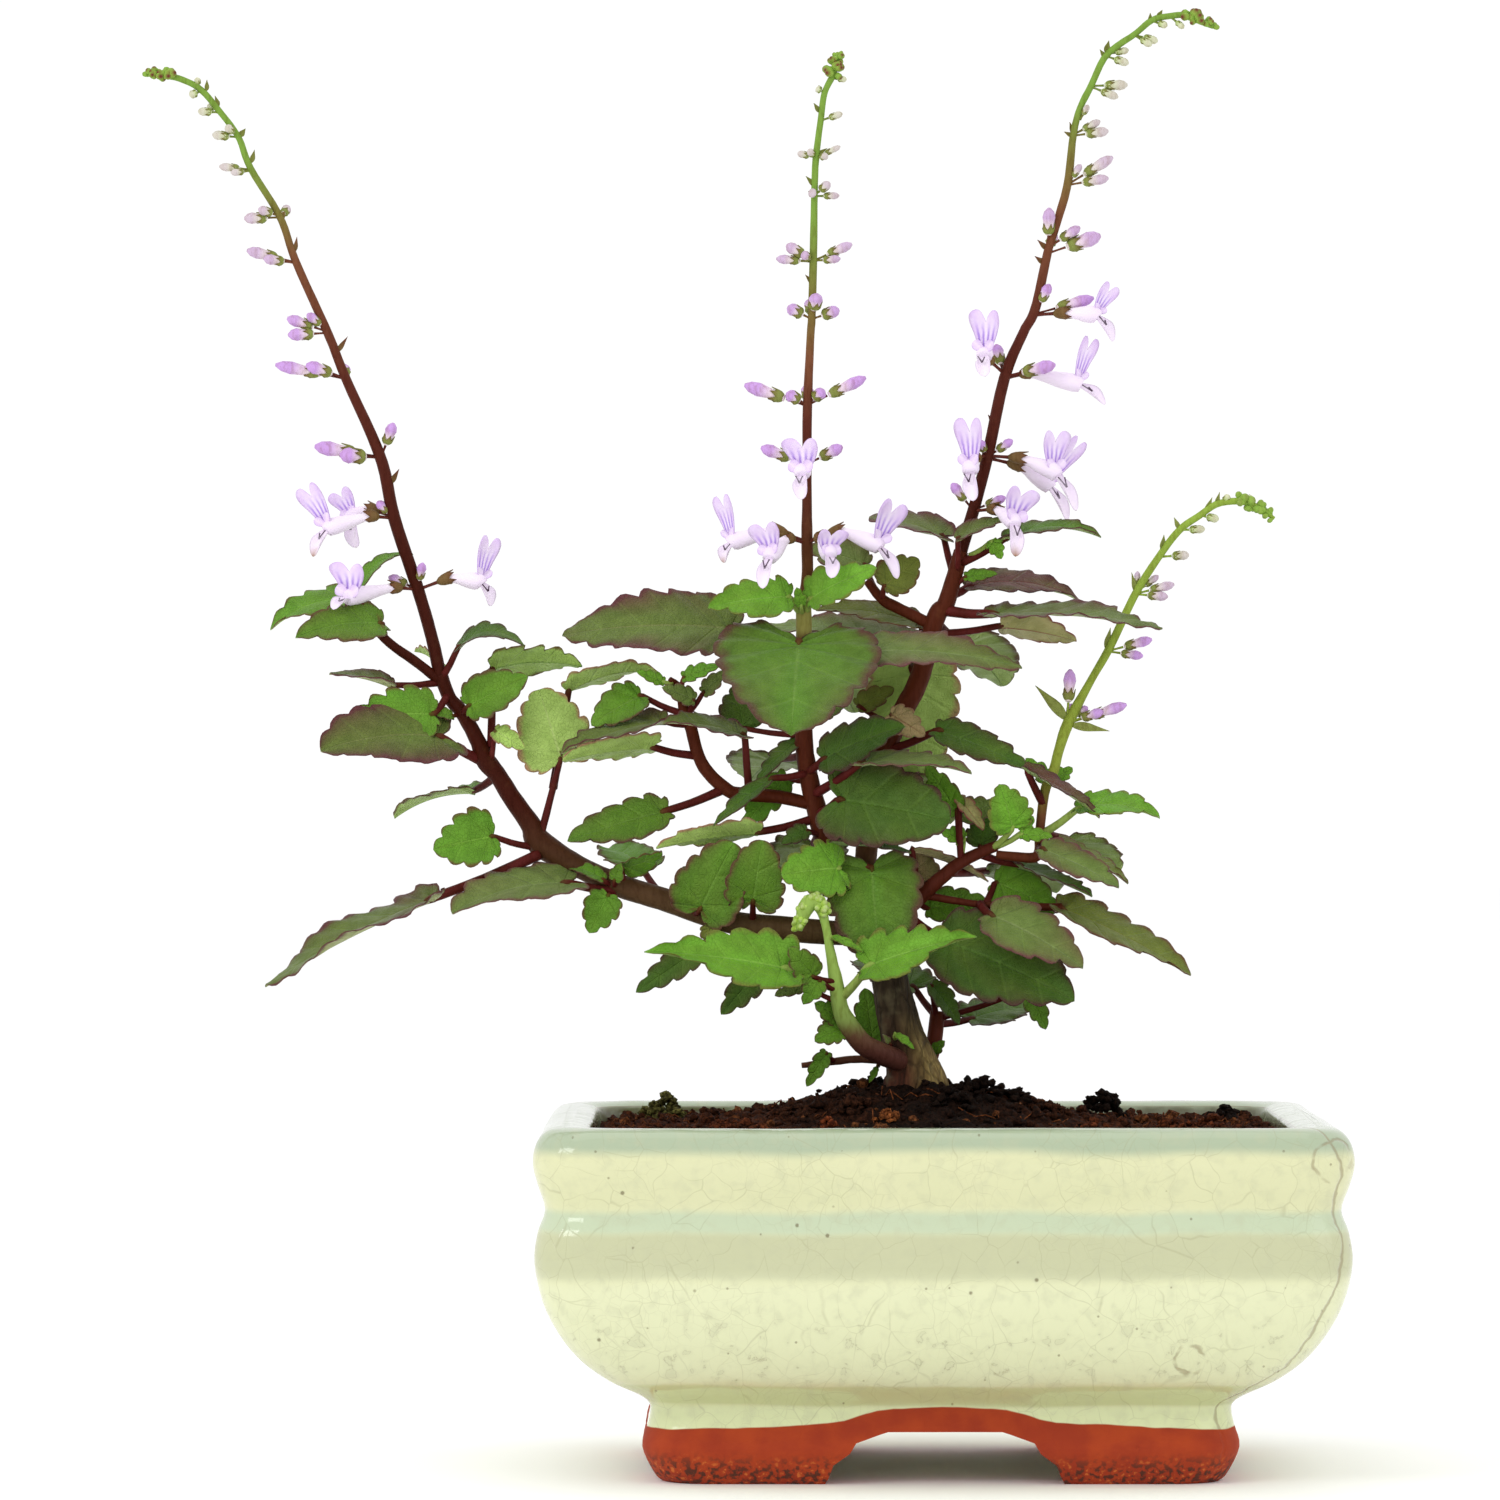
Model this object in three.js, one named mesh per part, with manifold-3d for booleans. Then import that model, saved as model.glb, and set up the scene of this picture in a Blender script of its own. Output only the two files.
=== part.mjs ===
// Potted plectranthus: a small woody-based shrub in a glazed footed bonsai pot.
// Millimetres, Z up. The front of the pot faces -Y.
import * as THREE from 'three';
import Module from 'manifold-3d';

const wasm = await Module();
wasm.setup();

// Driving dimensions (mm)
const GROUND = -0.3;            // height of the surface the feet stand on
const POT_CENTRE_X = -0.6;
const POT_INSET = 16;           // the pot is this much less deep than long, per half
const RIM_TOP = 66;
const POT_FLOOR = 16.5;         // top of the pot's floor
const RECESS_TOP = 11.2;        // hollow under the floor, between the feet
const FOOT_RING_INNER = { halfLength: 45, halfDepth: 28 };
const ARCH = { bottom: 21.4, top: 10.5, height: 9.5, centreX: 0 };
const SIDE_ARCH = { bottom: 14, top: 7.5, height: 8.5 };
const DRAIN = { radius: 4.5, x: 24 };
const FIT_GAP = 0.3;            // clear gap where two pieces meet
const LEAF_THICKNESS = 0.8;
const MODEL_TOLERANCE = 0.15;   // detail finer than this is left out
const VIEW_DISTANCE = 1400;     // the plant's layout is given as seen from this far in front
const VIEW_X = -35.85;
const VIEW_Z = 134.7;

// Small helpers
// Layout points are [x, y, z]: x and z as seen on the plane y = 0, y the true depth.
function at([x, y, z]) {
  const k = y / VIEW_DISTANCE;
  return new THREE.Vector3(x + (x - VIEW_X) * k, y, z + (z - VIEW_Z) * k);
}

function toSolid(positions, triangles) {
  const mesh = new wasm.Mesh({
    numProp: 3,
    vertProperties: new Float32Array(positions),
    triVerts: new Uint32Array(triangles),
  });
  mesh.merge();
  return new wasm.Manifold(mesh);
}

// A closed body from stacked rings of equal length. It is flat at both ends, or runs
// to a point beyond the last ring where an apex is given.
function ringSolid(rings, apex = null) {
  const n = rings[0].length;
  const positions = [];
  const triangles = [];
  for (const ring of rings) {
    for (const p of ring) positions.push(p.x, p.y, p.z);
  }
  for (let r = 0; r + 1 < rings.length; r++) {
    for (let i = 0; i < n; i++) {
      const a = r * n + i;
      const b = r * n + ((i + 1) % n);
      triangles.push(a, b, b + n, a, b + n, a + n);
    }
  }
  const last = (rings.length - 1) * n;
  for (let i = 1; i + 1 < n; i++) triangles.push(0, i + 1, i);
  if (apex) {
    positions.push(apex.x, apex.y, apex.z);
    for (let i = 0; i < n; i++) triangles.push(last + i, last + ((i + 1) % n), last + n);
  } else {
    for (let i = 1; i + 1 < n; i++) triangles.push(last, last + i, last + i + 1);
  }
  return toSolid(positions, triangles);
}

// A round stalk through [x, y, z, radius] points, with `sides` flat sides. A last point
// of radius 0 makes a pointed end.
function stalk(points, sides, extra = 0) {
  const pointed = points[points.length - 1][3] === 0;
  const centres = points.map((p) => at(p));
  const rings = [];
  let side = new THREE.Vector3(0.2, 1, 0.1);
  for (let i = 0; i < centres.length - (pointed ? 1 : 0); i++) {
    const before = centres[Math.max(i - 1, 0)];
    const after = centres[Math.min(i + 1, centres.length - 1)];
    const along = after.clone().sub(before).normalize();
    side.addScaledVector(along, -side.dot(along)).normalize();
    const other = along.clone().cross(side);
    const ring = [];
    for (let s = 0; s < sides; s++) {
      const turn = (2 * Math.PI * s) / sides;
      const radius = points[i][3] + extra;
      ring.push(centres[i].clone()
        .addScaledVector(side, radius * Math.cos(turn))
        .addScaledVector(other, radius * Math.sin(turn)));
    }
    rings.push(ring);
    side = side.clone();
  }
  return ringSolid(rings, pointed ? centres[centres.length - 1] : null);
}

// Leaf blade
// Half outline of each blade: [distance along the midrib, half width], base to tip.
const OUTLINES = {
  ovate: [[0, 0], [-0.05, 0.3], [-0.03, 0.62], [0.1, 0.88], [0.28, 1], [0.48, 0.95],
    [0.68, 0.74], [0.86, 0.42], [1, 0]],
  heart: [[0, 0], [-0.12, 0.3], [-0.13, 0.62], [0, 0.92], [0.2, 1.03], [0.45, 0.93],
    [0.68, 0.68], [0.87, 0.34], [1, 0]],
  lance: [[0, 0], [0.04, 0.35], [0.14, 0.68], [0.28, 0.92], [0.42, 1], [0.58, 0.9],
    [0.74, 0.66], [0.88, 0.36], [1, 0]],
  twin: [[0, 0], [0.15, 0.3], [0.4, 0.5], [0.7, 0.75], [1, 1], [1.16, 0.85], [1.2, 0.55],
    [1.08, 0.3], [1, 0]],
  bract: [[0, 0], [0.08, 0.5], [0.2, 0.85], [0.34, 1], [0.48, 0.9], [0.62, 0.65],
    [0.76, 0.4], [0.88, 0.2], [1, 0]],
};

function outlinePoint(outline, u) {
  const place = u * (outline.length - 1);
  const i = Math.min(Math.floor(place), outline.length - 2);
  const f = place - i;
  const a = outline[i];
  const b = outline[i + 1];
  return [a[0] + (b[0] - a[0]) * f, a[1] + (b[1] - a[1]) * f];
}

// A blade of constant thickness with a scalloped margin, and the stalk it grows on when
// `stem` gives the stalk's points. Each scallop adds one high point and one notch to each
// margin and one point to the midrib.
function blade(base, tip, up, width, options = {}) {
  const { fold = 0.25, bend = 0.08, wave = 0.05, notch = 0.1, teeth = 3, shape = 'ovate',
    thick = LEAF_THICKNESS, stem = [], stemRadius = 0.6 } = options;
  const outline = OUTLINES[shape];
  const start = at(base);
  const along = at(tip).sub(start);
  const length = along.length();
  along.normalize();
  const normal = new THREE.Vector3(...up);
  normal.addScaledVector(along, -normal.dot(along)).normalize();
  const across = along.clone().cross(normal);
  const surface = (t, s, lift) => start.clone()
    .addScaledVector(along, t * length)
    .addScaledVector(across, (s * width) / 2)
    .addScaledVector(normal, (fold * Math.abs(s) * width) / 2
      + bend * length * (4 * t * (1 - t)) + lift);
  const positions = [];
  const add = (p) => {
    positions.push(p.x, p.y, p.z);
    return positions.length / 3 - 1;
  };
  const addPair = (p) => [add(p), add(p.clone().addScaledVector(normal, -thick))];
  const triangles = [];
  const face = (a, b, c, hand) => {
    if (a === b || b === c || a === c) return;
    triangles.push(...(hand > 0 ? [a, b, c] : [a, c, b]));
  };
  const rib = [];
  for (let j = 0; j <= teeth; j++) rib.push(addPair(surface(j / teeth, 0, 0)));
  const sides = [-1, 1].map((hand) => {
    const middle = surface(0, 0, 0).addScaledVector(normal, -thick / 2);
    const corner = stem.length
      ? add(middle.addScaledVector(across, hand * stemRadius))
      : null;
    const edge = [corner === null ? rib[0] : [corner, corner]];
    for (let k = 1; k < 2 * teeth; k++) {
      const [t, s] = outlinePoint(outline, k / (2 * teeth));
      const inner = k % 2 === 0 ? 1 - notch : 1;
      const sway = k % 2 === 0 ? 0 : (k % 4 === 1 ? 1 : -1);
      const centre = Math.min(Math.max(t, 0), 1);
      edge.push(addPair(
        surface(centre + (t - centre) * inner, hand * s * inner, sway * wave * width),
      ));
    }
    edge.push(rib[teeth]);
    for (let j = 0; j < teeth; j++) {
      const [a, b, c] = [edge[2 * j], edge[2 * j + 1], edge[2 * j + 2]];
      for (const layer of [0, 1]) {
        const turn = layer === 0 ? hand : -hand;
        face(rib[j][layer], a[layer], b[layer], turn);
        face(rib[j][layer], b[layer], rib[j + 1][layer], turn);
        face(rib[j + 1][layer], b[layer], c[layer], turn);
      }
    }
    for (let k = 0; k < 2 * teeth; k++) {
      const [a, b] = [edge[k], edge[k + 1]];
      face(a[0], a[1], b[1], hand);
      face(a[0], b[1], b[0], hand);
    }
    return corner;
  });
  if (stem.length) {
    // The stalk's four corners run from the blade's base back to its root.
    let ring = [rib[0][0], sides[1], rib[0][1], sides[0]];
    const centres = [...stem.map((p) => at(p)), start];
    for (let i = stem.length - 1; i >= 0; i--) {
      const before = centres[Math.max(i - 1, 0)];
      const ahead = centres[i + 1].clone().sub(before).normalize();
      const rise = normal.clone().addScaledVector(ahead, -normal.dot(ahead));
      if (rise.lengthSq() < 0.05) rise.copy(along).addScaledVector(ahead, -along.dot(ahead));
      rise.normalize();
      const flank = ahead.clone().cross(rise);
      const next = [[rise, 1], [flank, 1], [rise, -1], [flank, -1]].map(
        ([way, sign]) => add(centres[i].clone().addScaledVector(way, sign * stemRadius)),
      );
      for (let q = 0; q < 4; q++) {
        const r = (q + 1) % 4;
        triangles.push(next[q], ring[r], ring[q], next[q], next[r], ring[r]);
      }
      ring = next;
    }
    triangles.push(ring[0], ring[2], ring[1], ring[0], ring[3], ring[2]);
  }
  return toSolid(positions, triangles);
}

// Plant layout
// Stems: [x, y, z, radius]. Leaves: [stalk start, blade base, tip, upper side, width, shape,
// fold, bend, wave]. Blade teeth follow from the blade's length.
const TRUNK = [
  [-4.6, 0, 46, 5], [-4.8, 0, 66, 6.2], [-5, 0, 72, 6], [-5.4, 0, 75, 5.1], [-7, 0, 80, 4.3],
  [-8.5, 0, 86, 3.8], [-9.8, 0, 92, 3.5], [-11.5, 1, 98, 3.3], [-13.5, 1, 104, 3],
  [-14.5, 2, 110, 2.5],
];

const LEFT_BRANCH_STEMS = [
  [[-12, 1, 99.8, 2], [-20, 1, 100.2, 2.3], [-28.4, 1, 100.9, 2.4], [-39.8, 2, 102.3, 2.2],
    [-51.2, 3, 106.2, 2.2], [-60.4, 4, 109.1, 2.2], [-68, 5, 112.6, 2.1], [-75.3, 6, 117, 2.5],
    [-77.2, 6, 120.6, 2], [-80.6, 6.5, 125.4, 1.8], [-83.2, 7, 129.6, 1.7],
    [-85.8, 7, 132.9, 1.9], [-87.3, 7, 136.6, 1.5], [-90.3, 7.5, 141.9, 1.35],
    [-92.5, 8, 144.5, 1.3], [-94.2, 8, 148.9, 1.4]],
  [[-94.4, 8, 147.8, 1], [-99, 7, 151.4, 0.95], [-104, 6, 155, 0.9], [-107.3, 5, 158.6, 0.8]],
];
const LEFT_BRANCH_LEAVES = [
  [[-105, 5.5, 156.5], [-105.4, 1.4, 158.6], [-121.6, -5, 156],
    [0.1, -0.8, 0.6], 10, 'ovate', 0.2, 0.1, 0.05],
  [[-106.8, 5, 158], [-108.5, 10.5, 163], [-126.4, 12, 157.5],
    [0, -0.55, 0.83], 10, 'ovate', 0.2, 0.14, 0.08],
  [[-106.5, 5, 157.6], [-109.8, 7, 164.3], [-99.5, 11, 171.8],
    [-0.5, -0.5, 0.7], 5, 'lance', 0.2, 0.2, 0],
  [[-94, 7.5, 148.3], [-90.8, 6, 154.2], [-78.5, 4, 154.6],
    [0, -0.5, 0.86], 6.5, 'ovate', 0.2, 0.25, 0.03],
  [[-84.7, 7, 135.2], [-84.4, 10, 150.4], [-67.5, 12, 150.6],
    [0, 0.55, 0.83], 11, 'ovate', 0.1, 0.08, 0.05],
  [[-90.3, 7.5, 141.6], [-89, 4, 143], [-77.8, 1, 148.6],
    [-0.1, -0.93, 0.35], 9.5, 'ovate', 0.2, 0.03, 0.05],
  [[-92.9, 7.5, 145], [-95.6, 3, 141.5], [-111, -1, 141],
    [0, -0.95, 0.3], 11.5, 'ovate', 0.15, 0.05, 0.05],
  [[-87, 7, 132.9], [-94.3, 2, 137.2], [-116.8, -9, 134.6],
    [0.15, -0.7, 0.7], 17, 'heart', 0.2, 0.08, 0.05],
  [[-94.8, 8, 147.4], [-103.5, 6, 147], [-115.2, 4, 149.2],
    [0.1, -0.2, 0.97], 8, 'ovate', 0.25, 0.05, 0.06],
  [[-76.8, 5.5, 116.4], [-84.3, 2, 118.4], [-95.6, -1, 116],
    [0.1, -0.92, 0.35], 12, 'ovate', 0.25, 0.03, 0.08],
  [[-75.6, 4.5, 115], [-95.5, -1, 106.8], [-127.4, -8, 90.2],
    [-0.45, -0.22, 0.87], 17, 'ovate', 0.2, 0.03, 0.06],
  [[-59.5, 4, 108], [-70.5, 0, 109.6], [-92.1, -6, 104],
    [-0.2, -0.5, 0.85], 14, 'heart', 0.2, 0.08, 0.06],
  [[-59.6, 3.5, 108.8], [-60, 1.5, 112.4], [-52.4, -1, 115.2],
    [-0.2, -0.4, -0.8], 6.5, 'ovate', 0.2, 0.05, 0.05],
  [[-61.6, 3.5, 108], [-62.6, 1, 107.4], [-66.2, -1, 100.2],
    [0, -1, 0.1], 7.5, 'ovate', 0.15, 0.02, 0.05],
  [[-75.4, 5.5, 118.4], [-71.6, 5, 133.4], [-75.6, 10, 146],
    [0, 0.93, -0.3], 15, 'heart', 0.1, 0.06, 0.05],
  [[-72, 6, 129], [-70, 10, 146.2], [-53, 8, 149.4], [0, 0.4, 0.9], 8, 'ovate', 0.2, 0.1, 0.08],
  [[-41.5, 2, 101.6], [-45.5, -1.5, 97], [-57.4, -4, 89],
    [0.4, -0.75, 0.4], 6, 'ovate', 0.25, 0.03, 0.03],
  [[-34.5, 1, 99.8], [-33.5, -2, 94], [-41.3, -4, 84.8],
    [0.3, -0.8, 0.3], 6.5, 'ovate', 0.25, 0.03, 0.03],
  [[-46.5, 2, 104], [-45.3, -1.5, 104.6], [-39, -5, 117.2],
    [0, -0.97, 0.15], 14, 'heart', 0.12, 0.04, 0.04],
  [[-35.3, 1, 102.5], [-35.3, -3.5, 106], [-33.6, -7.5, 117.6],
    [0, -0.97, 0.1], 11.5, 'heart', 0.12, 0.04, 0.03],
  [[-83.6, 7.5, 130], [-88, 14, 127], [-103, 22, 122], [0.2, -0.2, 0.95], 12, 'ovate', 0.2, 0.08, 0.05],
  [[-52, 3.5, 106.8], [-56, 12, 112], [-63, 26, 116], [0, -0.3, 0.95], 12, 'ovate', 0.2, 0.08, 0.05],
  [[-40, 2.5, 103], [-43, 11, 107], [-46, 25, 112], [0, -0.3, 0.95], 12, 'ovate', 0.2, 0.08, 0.05],
];

const MIDDLE_STEM_STEMS = [
  [[-14.5, 2, 106, 2], [-17.8, 2, 111.5, 2], [-21.3, 2, 116.8, 2], [-23.6, 2, 124.7, 1.9],
    [-25.1, 2, 131.5, 1.8], [-25.7, 2, 137.9, 1.7], [-25.7, 2, 150, 1.6], [-25.7, 2, 159.6, 1.5],
    [-25.8, 2, 162.2, 1.6]],
  [[-24.2, 2, 124.4, 1.2], [-30, 3, 125.8, 1.3], [-37.5, 3, 126.4, 1.3], [-40.2, 3, 127.2, 1.3],
    [-43.8, 3, 130.5, 1.25], [-45.9, 2, 134.5, 1.2], [-47.1, 2, 139.3, 1.2], [-48.3, 2, 142, 1.1],
    [-49.2, 2, 146.5, 0.7], [-51, 1, 148, 0.6]],
];
const MIDDLE_STEM_LEAVES = [
  [[-26.2, 1.6, 160.6], [-28.3, 0, 163.6], [-43.8, -4, 161.6],
    [0.05, -0.85, 0.5], 9.5, 'ovate', 0.2, 0.06, 0.07],
  [[-25.4, 1.6, 160.8], [-24.6, -1, 163.2], [-12, -4, 169.2],
    [-0.1, -0.85, 0.5], 9, 'ovate', 0.2, 0.06, 0.07],
  [[-25.9, 1.6, 151], [-26.6, -4, 155.2], [-28.1, -24, 137.6],
    [0, -0.63, 0.78], 31, 'heart', 0.16, 0.06, 0.03],
  [[-25, 1.6, 151.6], [-17, -3, 153.2], [15.5, -9, 150.3],
    [0.05, -0.5, 0.86], 14, 'ovate', 0.12, 0.05, 0.03],
  [[-26.6, 2.5, 152.6], [-38.8, 6, 157.6], [-71.3, 5, 156.4],
    [0, -0.7, 0.72], 18, 'ovate', 0.15, 0.05, 0.03],
  [[-25.6, 2.6, 137.5], [-37, 8, 138.8], [-38.6, 10, 147], [0, -0.9, 0.4], 9, 'ovate', 0.2, 0.05, 0.03],
  [[-24.9, 1, 130.6], [-22, -2, 133], [-6.6, -8, 139.2],
    [-0.1, -0.8, 0.6], 11, 'ovate', 0.15, 0.05, 0.04],
  [[-23.6, 1, 126.4], [-15, -8, 132.2], [6, -14, 130.4],
    [0.05, -0.24, 0.97], 13, 'ovate', 0.15, 0.06, 0.03],
  [[-22.8, 1, 122.6], [-19, -5, 125.4], [1.9, -11, 121.4],
    [0.1, -0.95, 0.25], 17.5, 'heart', 0.1, 0.05, 0.03],
  [[-25.6, 1.6, 137.4], [-27, 3.2, 136.2], [-34.6, -1, 128.6],
    [-0.4, -0.6, 0.6], 5, 'ovate', 0.2, 0.05, 0.03],
  [[-25, 1, 130.4], [-31.6, -2, 129.4], [-42.8, -5, 120.6],
    [-0.5, -0.6, 0.5], 5, 'lance', 0.25, 0.02, 0.03],
  [[-24.8, 2, 129], [-29, 6, 129.6], [-37.6, 6.5, 119.5], [0, -0.9, 0.3], 6.5, 'ovate', 0.2, 0.05, 0.03],
  [[-23.4, 2, 121.8], [-34.6, 0, 119.2], [-53.6, -4, 116.3],
    [0.1, 0.5, 0.86], 9, 'ovate', 0.2, 0.03, 0.05],
  [[-20.4, 0.6, 114.6], [-19, -5.5, 112.4], [-29.8, -10, 111.2],
    [0, -0.97, 0.25], 11.5, 'heart', 0.1, 0.06, 0.02],
  [[-21, 1.4, 116.6], [-19.6, -4, 117.2], [-5.4, -7, 115.4],
    [0.05, -0.2, 0.98], 9, 'ovate', 0.25, 0.04, 0.05],
  [[-19, 1, 113.2], [-13, -3.6, 112.6], [-11.4, -9, 94.6],
    [0, -0.95, -0.3], 19, 'heart', 0.1, 0.05, 0.02],
  [[-41, 3, 127.2], [-51.8, 0, 123.2], [-70.3, -4, 117.6],
    [-0.1, -0.85, 0.5], 9.5, 'ovate', 0.12, 0.03, 0.05],
  [[-47.2, 2, 139.8], [-52, 0, 140.2], [-71.6, -3, 134.2],
    [-0.25, -0.28, 0.93], 12, 'ovate', 0.2, 0.04, 0.06],
  [[-46, 2.4, 133.6], [-54.8, 0, 135.4], [-71.2, -3, 132.8],
    [-0.05, 0.45, 0.89], 10, 'heart', 0.15, 0.03, 0.04],
  [[-48.2, 2, 141.4], [-56.4, 4, 145], [-65.8, 1, 139.4], [-0.2, -0.8, 0.5], 9, 'ovate', 0.2, 0.05, 0.05],
  [[-36, 2.6, 126.6], [-36.9, -1, 137.4], [-52.2, -7, 140],
    [0.1, -0.36, 0.93], 10.5, 'ovate', 0.2, 0.05, 0.04],
  [[-25.4, 3, 154], [-22, 14, 150], [-16, 30, 142], [0.1, 0.5, 0.86], 18, 'heart', 0.12, 0.05, 0.04],
  [[-25.2, 3, 134], [-31, 14, 133], [-36, 30, 129], [0, 0.45, 0.9], 16, 'heart', 0.12, 0.05, 0.04],
  [[-22.6, 3, 120], [-24, 12, 117], [-27, 26, 110], [0, 0.5, 0.86], 15, 'heart', 0.12, 0.05, 0.04],
];

const RIGHT_STEM_STEMS = [
  [[-14.4, 2, 108, 2], [-14, 3, 114, 2.1], [-13.2, 4, 122, 2.1], [-11.5, 5, 132.3, 2.1],
    [-7.4, 5, 141.1, 2], [-3.8, 5, 148.5, 1.9], [-0.8, 5, 159.6, 1.8], [1.1, 5, 162.3, 1.7],
    [2.9, 5, 168.3, 1.5], [4, 5, 172.2, 1.4]],
  [[-0.9, 5, 158, 1.1], [-7.7, 6, 161.4, 1.1], [-11, 7, 163.2, 1], [-13.7, 8, 166.6, 0.8]],
];
const RIGHT_STEM_LEAVES = [
  [[2.6, 5.4, 167.6], [0.6, 9, 175], [-13.4, 9, 178.6],
    [0.15, -0.35, 0.92], 12, 'heart', 0.2, 0.06, 0.06],
  [[3.4, 4.4, 168.4], [3.4, 0.6, 174.6], [12.6, 0, 178.4],
    [-0.1, -0.4, 0.9], 7, 'ovate', 0.2, 0.06, 0.04],
  [[4, 4.4, 170], [12.6, 3, 174.8], [30.4, 2, 175], [0, -0.32, 0.95], 8, 'ovate', 0.2, 0.12, 0.08],
  [[2, 5.4, 164], [5.6, 8, 165.6], [26.4, 12, 163], [0, -0.4, 0.92], 12, 'ovate', 0.15, 0.1, 0.04],
  [[1.2, 4.6, 161], [9.6, 0, 160.4], [42, -8, 157.8], [0.05, -0.2, 0.98], 17, 'ovate', 0.12, 0.04, 0.03],
  [[-1, 5.4, 156.6], [11.8, 7, 158.2], [25.8, 10, 155.4], [0, 0.6, 0.8], 9, 'ovate', 0.2, 0.04, 0.05],
  [[-11, 7, 162.8], [-10.6, 5, 165.6], [-4, 7, 170.8], [0, -0.9, 0.3], 8.5, 'ovate', 0.2, 0.03, 0.03],
  [[-12.4, 7.4, 165], [-14, 11, 169.6], [-25, 14, 173], [0, -0.85, 0.5], 8, 'ovate', 0.2, 0.05, 0.03],
  [[-2.4, 5.4, 154], [-3.6, 8, 158.4], [-23.4, 11, 161.2], [0, -0.45, 0.9], 9, 'ovate', 0.15, 0.06, 0.03],
  [[-3, 5.6, 151.6], [-5, 9, 154.6], [-34, 17, 158], [0, -0.35, 0.93], 14, 'ovate', 0.15, 0.04, 0.03],
  [[-4, 6, 147], [-5.4, 10, 150.6], [-4, 15, 129.6], [0, 0.97, 0.25], 18, 'heart', 0.1, 0.05, 0.04],
  [[-10.6, 4.6, 134.4], [-0.4, 0, 138.4], [16.6, -4, 131.2],
    [0.25, -0.78, 0.58], 8.4, 'ovate', 0.15, 0.04, 0.04],
  [[-0.6, 5.8, 158.8], [4, 16, 155], [12, 30, 147], [0.1, 0.5, 0.86], 16, 'heart', 0.12, 0.05, 0.04],
  [[-11.6, 6, 131], [-8, 16, 128], [2, 28, 121], [0.1, 0.5, 0.86], 15, 'heart', 0.12, 0.05, 0.04],
];

const SIDE_BRANCH_STEMS = [
  [[-12, 0.6, 100.6, 1.6], [-8, -1.4, 103.8, 1.6], [-4.6, -2, 106.4, 1.6], [0, -3, 110.4, 1.4],
    [4.1, -3, 113.6, 1.2], [9.6, -3, 116.2, 1.1], [10.8, -3, 116.6, 1]],
  [[-3.4, -2, 107.4, 0.8], [3, -2, 106.2, 0.7], [9.4, -2, 105.4, 0.7], [16, -2, 105.2, 0.7],
    [23, -2, 105, 0.8]],
];
const SIDE_BRANCH_LEAVES = [
  [[-4.2, -2, 107.6], [-5.3, 0, 116], [9.2, 2, 110], [0.3, 0.3, 0.9], 5, 'lance', 0.2, 0.05, 0.03],
  [[4, -3, 113.6], [3.2, -4, 123.2], [-2.6, -6.5, 132], [-0.4, -0.8, 0.2], 6, 'ovate', 0.2, 0.03, 0.03],
  [[10, -3.4, 116.2], [13.8, -5.6, 120], [11.2, -8.5, 128.2],
    [0.1, -0.95, 0.2], 9, 'ovate', 0.2, 0.04, 0.06],
  [[7.6, -2.6, 115], [15, 1.6, 113], [28.8, -3, 107.2], [0.42, -0.25, 0.86], 9, 'ovate', 0.2, 0.02, 0.04],
  [[22, -2, 105], [22.6, -2, 105], [47.4, -6, 92.3], [0.4, -0.45, 0.78], 13, 'ovate', 0.2, 0.03, 0.04],
  [[8.6, -2, 105.6], [10.4, 1.4, 109.8], [22.4, 1, 104.4],
    [0.2, -0.9, 0.4], 11, 'ovate', 0.12, 0.03, 0.04],
  [[7.6, -2.4, 105.6], [9.6, -7.6, 103.6], [27, -13, 93.6],
    [0.35, -0.8, 0.45], 13, 'ovate', 0.15, 0.06, 0.04],
  [[-7, -1.2, 104], [0.6, -4.6, 98.8], [25.4, -9.5, 87.4],
    [0.15, -0.88, 0.45], 19, 'ovate', 0.12, 0.05, 0.04],
  [[-4.4, -1.2, 106.4], [-2.4, 1.4, 104.8], [8.8, 2, 106.6],
    [-0.1, -0.9, 0.4], 7.4, 'ovate', 0.15, 0.02, 0.04],
  [[2, -1.4, 111.6], [9, 10, 112], [22, 24, 108], [0.2, 0.4, 0.88], 15, 'heart', 0.12, 0.05, 0.04],
];

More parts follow.
